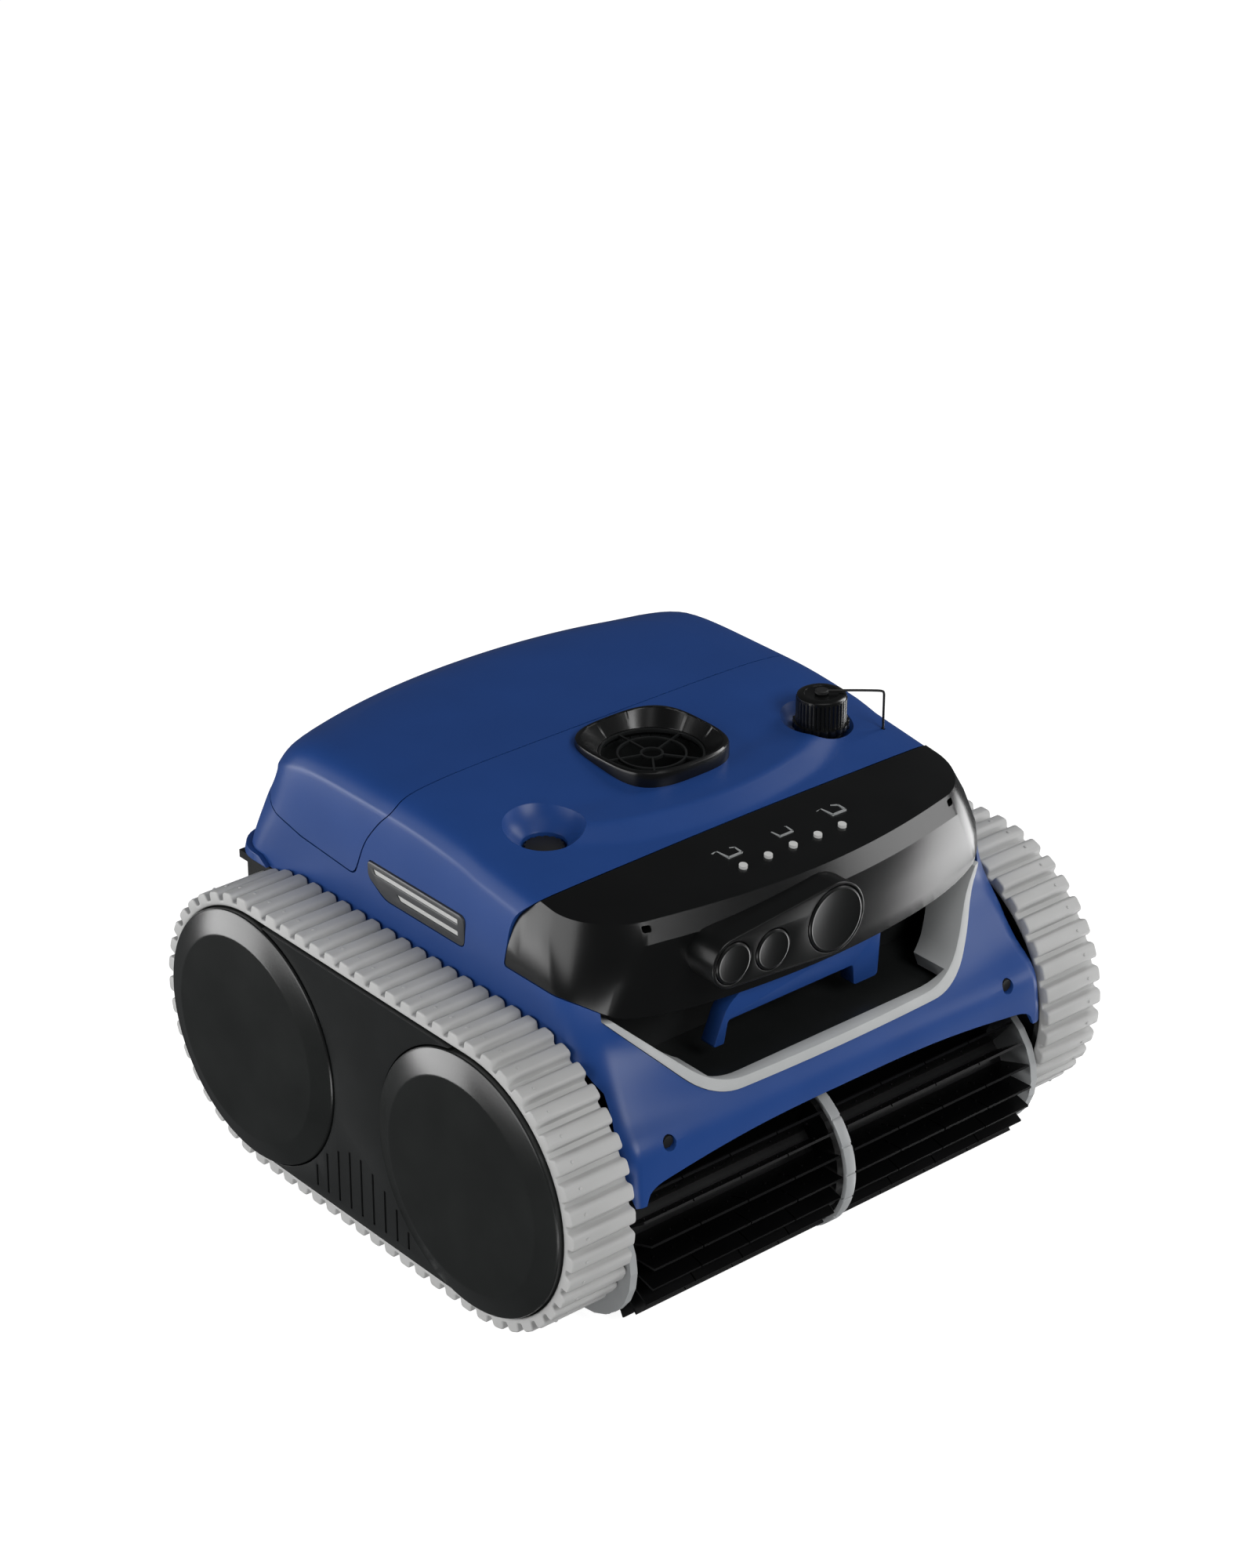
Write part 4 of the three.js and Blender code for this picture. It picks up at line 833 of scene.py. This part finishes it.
def lugged(radius):
    """A belt's outer outline: a run round both axles with lugs at even steps."""
    straight, bend = 2 * AXLE_Y, math.pi * radius
    length = 2 * (straight + bend)

    def at(s, height):
        t, reach = s % length, radius + height
        if t < straight:
            return t - AXLE_Y, AXLE_Z - reach
        if t < straight + bend:
            angle = (t - straight) / radius
            return AXLE_Y + reach * math.sin(angle), AXLE_Z - reach * math.cos(angle)
        if t < 2 * straight + bend:
            return AXLE_Y - (t - straight - bend), AXLE_Z + reach
        angle = (t - 2 * straight - bend) / radius
        return -AXLE_Y - reach * math.sin(angle), AXLE_Z + reach * math.cos(angle)

    return [at((i + 0.5) * length / LUG_COUNT + s, h) for i in range(LUG_COUNT) for s, h in LUG]


def stadium(radius, steps=40):
    """A plain run of one radius round both axles."""
    points = []
    for end in (1, -1):
        for i in range(steps + 1):
            angle = -math.pi / 2 + math.pi * i / steps
            along, up = radius * math.cos(angle), radius * math.sin(angle)
            points.append((end * (AXLE_Y + along), AXLE_Z + end * up))
    return points


lug_line = lugged(BELT_OUTER)
belt = trim(plate("x", lug_line, TRACK_INNER, TRACK_OUTER), plate("x", stadium(BELT_INNER), 100, FAR))
soften(belt, 1.1, 3, 50)
nubs = []
for i in range(LUG_COUNT):
    crest = len(LUG) * i + len(LUG_RISE)
    (ay, az), (by, bz) = lug_line[crest - 1], lug_line[crest]
    nub = turned("z", [(0, -0.5), (1.1, -0.5), (0.9, 0.4), (0, 0.7)], steps=10)
    turn = Matrix.Rotation(math.atan2(bz - az, by - ay) + math.pi, 4, "X")
    place = ((TRACK_OUTER - 10) * MM, (ay + by) / 2 * MM, (az + bz) / 2 * MM)
    nub.data.transform(Matrix.Translation(place) @ turn)
    nubs.append(nub)
belt = joined(belt, *nubs)
for side, twin in (("left", belt), ("right", copy_of(belt, MIRROR))):
    done(twin, side + "_belt", "chassis", belt_rubber, [side + "_track_belt"], 40)

# ---------- side covers ----------
GROOVE_WIDTH = 1.7
GROOVE_FOOT = AXLE_Z - WHEEL_RADIUS + 6.4
GROOVE_HEADS = [
    (-46, 27), (-35.5, 37), (-24.6, 44), (-13.6, 50), (-2.6, 54), (8, 54), (19, 49.5), (30, 42.5), (40.5, 30),
]
cover = plate("x", stadium(WHEEL_RADIUS - 0.4), 157.9, TRACK_OUTER + 1.6)
trim(cover, block(100, FAR, AXLE_Y - 5, FAR, 0, FAR), block(100, FAR, -FAR, 5 - AXLE_Y, 0, FAR))
for s in (1, -1):
    trim(cover, rod("x", WHEEL_RADIUS + 1, 100, FAR, (s * AXLE_Y, AXLE_Z), 128))
soften(cover, 1.3, 3, 40)
for y, head in GROOVE_HEADS:
    groove = [(y, GROOVE_FOOT), (y + GROOVE_WIDTH, GROOVE_FOOT), (y + GROOVE_WIDTH, head), (y, head)]
    trim(cover, plate("x", groove, TRACK_OUTER, FAR))
for side, twin in (("left", cover), ("right", copy_of(cover, MIRROR))):
    done(twin, side + "_side_cover_skin", "chassis", cover_black, [side + "_side_cover"])

# ---------- wheels ----------
for end, s in (("front", -1), ("rear", 1)):
    axle = (s * AXLE_Y, AXLE_Z)
    wheel = turned(
        "x",
        [(6.4, TRACK_OUTER - 6), (6.4, 160), (12, 160), (12, TRACK_OUTER + 1.5),
         (WHEEL_RADIUS - 3.7, TRACK_OUTER + 1.5), (WHEEL_RADIUS - 3.7, 160), (WHEEL_RADIUS, 160),
         (WHEEL_RADIUS, TRACK_OUTER + 2.2), (WHEEL_RADIUS - 0.4, TRACK_OUTER + 3.0),
         (WHEEL_RADIUS - 1.4, TRACK_OUTER + 3.6), (FACE_RADIUS + 0.6, WHEEL_FACE - 0.25),
         (FACE_RADIUS, WHEEL_FACE - 0.02), (FACE_RADIUS - 0.8, WHEEL_FACE), (0.01, WHEEL_FACE),
         (0.01, TRACK_OUTER - 6)],
        axle,
        144,
    )
    for side, twin in (("left", wheel), ("right", copy_of(wheel, MIRROR))):
        node = f"{side}_{end}_wheel"
        done(twin, f"{side}_{end}_disc", node, disc_black, [node], 20)

# ---------- brushes ----------
FIN_TIP = BRUSH_RADIUS - 0.3
SLITS = [40, 75, 110]
SLIT_FOOT = 33
FIN_NUBS = range(12, 142, 14)
for end, s in (("front", -1), ("rear", 1)):
    shaft = (s * BRUSH_Y, BRUSH_Z)
    edge = [(BRUSH_START, BRUSH_CORE - 1), (BRUSH_START, FIN_TIP)]
    for x in SLITS:
        edge += [(x - 0.4, FIN_TIP), (x - 0.4, SLIT_FOOT), (x + 0.4, SLIT_FOOT), (x + 0.4, FIN_TIP)]
    edge += [(BRUSH_END, FIN_TIP), (BRUSH_END, BRUSH_CORE - 1)]
    blade = plate("y", edge, -0.7, 0.7)
    blade = joined(blade, *[rod("y", 0.8, -1.4, 1.4, (x, 38), 10) for x in FIN_NUBS])
    core = turned(
        "x",
        [(0, BRUSH_START), (BRUSH_CORE, BRUSH_START), (BRUSH_CORE, BRUSH_END), (5, BRUSH_END), (5, 170),
         (0, 170)],
        shaft,
        66,
    )
    blades = []
    for i in range(BRUSH_FINS):
        turn = Matrix.Rotation(2 * math.pi * i / BRUSH_FINS + 0.1, 4, "X")
        blades.append(copy_of(blade, Matrix.Translation((0, shaft[0] * MM, shaft[1] * MM)) @ turn))
    bpy.data.objects.remove(blade)
    brush = joined(core, *blades)
    for side, twin in (("left", brush), ("right", copy_of(brush, MIRROR))):
        node = f"{side}_{end}_brush"
        done(twin, f"{side}_{end}_roller", node, blade_rubber, [node])

# ---------- mesh in the filter basket's windows ----------
basket = frame["nodes"]["filter_basket"].bound_box
x0, y0, z0 = (min(corner[i] for corner in basket) / MM for i in range(3))
x1, y1, z1 = (max(corner[i] for corner in basket) / MM for i in range(3))
levels = [z0 + 30 + WIRE_STEP * k for k in range(int((z1 - z0 - 60) / WIRE_STEP) + 1)]
foot, head = z0 + 29, z1 - 29
wires = []
for y in (y0 + 0.6, y1 - 1.4):
    for x in range(10, 101, WIRE_STEP):
        wires += [block(s * x - WIRE_HALF, s * x + WIRE_HALF, y, y + 0.8, foot, head) for s in (1, -1)]
    for z in levels:
        for s in (1, -1):
            wires.append(block(*sorted((s * 9, s * 101)), y + 0.1, y + 0.7, z - WIRE_HALF, z + WIRE_HALF))
for x in (x0 + 0.6, x1 - 1.4):
    for y in range(50, 125, WIRE_STEP):
        wires.append(block(x, x + 0.8, y - WIRE_HALF, y + WIRE_HALF, foot, head))
    for z in levels:
        wires.append(block(x + 0.1, x + 0.7, 49, 125, z - WIRE_HALF, z + WIRE_HALF))
done(joined(*wires), "filter_mesh", "chassis", basket_smoke)

# ---------- rims of the brush supports ----------
for end, s in (("front", -1), ("rear", 1)):
    centre = (s * BRUSH_Y, BRUSH_Z)
    rim = ring("x", RIM_OUTER - 3, RIM_OUTER, -3.5, 3.5, centre, 96)
    for i in range(RIM_NOTCHES):
        notch = block(-9, 9, -0.7, 0.7, RIM_OUTER - 0.7, 53)
        turn = Matrix.Rotation(math.radians(360 / RIM_NOTCHES * i + 6), 4, "X")
        notch.data.transform(Matrix.Translation((0, centre[0] * MM, centre[1] * MM)) @ turn)
        trim(rim, notch)
    done(soften(rim, 0.5), end + "_support_rim", "chassis", plate_grey)

# ---------- stage and lights ----------
bpy.ops.mesh.primitive_plane_add(size=30, location=(0, 0, -0.0002))
ground = bpy.context.object
ground.name = "ground"
ground_white = moulded("ground_white", (0.35, 0.35, 0.35), 0.9, depth=0.0, mottle=0.0, level=0.0)
shader = ground_white.node_tree.nodes["Principled BSDF"]
shader.inputs["Emission Color"].default_value = (1, 1, 1, 1)
shader.inputs["Emission Strength"].default_value = 0.93
ground.data.materials.append(ground_white)
ground.visible_glossy = ground.visible_diffuse = ground.visible_shadow = False


def lamp(name, place, target, width, height, power):
    light = bpy.data.lights.new(name, "AREA")
    light.shape, light.size, light.size_y, light.energy = "RECTANGLE", width, height, power
    holder = bpy.data.objects.new(name, light)
    bpy.context.scene.collection.objects.link(holder)
    holder.location = place
    holder.rotation_euler = (Vector(target) - Vector(place)).to_track_quat("-Z", "Y").to_euler()


middle = (0, 0, 0.12)
lamp("right_box", (2.1, -0.45, -0.75), middle, 1.3, 1.5, 34)
lamp("right_strip", (1.72, -1.2, 0.5), middle, 1.2, 0.5, 9)
lamp("right_high", (1.9, -0.05, 1.5), middle, 0.6, 0.8, 14)
lamp("corner_box", (-1.55, -1.5, -1.0), middle, 2.2, 0.9, 26)
lamp("front_fill", (0.2, -2.2, 1.7), middle, 1.2, 0.9, 34)
lamp("left_box", (-2.3, 0.5, 0.9), middle, 2.0, 1.6, 31)
lamp("back_box", (-1.5, 1.75, 0.1), middle, 1.2, 1.0, 24)
lamp("overhead", (0.0, -0.6, 2.8), middle, 1.6, 1.6, 8)
world = bpy.data.worlds.new("studio")
bpy.context.scene.world = world
world.use_nodes = True
backdrop = world.node_tree.nodes["Background"]
backdrop.inputs["Color"].default_value = (0.95, 0.97, 1, 1)
backdrop.inputs["Strength"].default_value = 0.07
bpy.context.scene.view_settings.view_transform = "Standard"
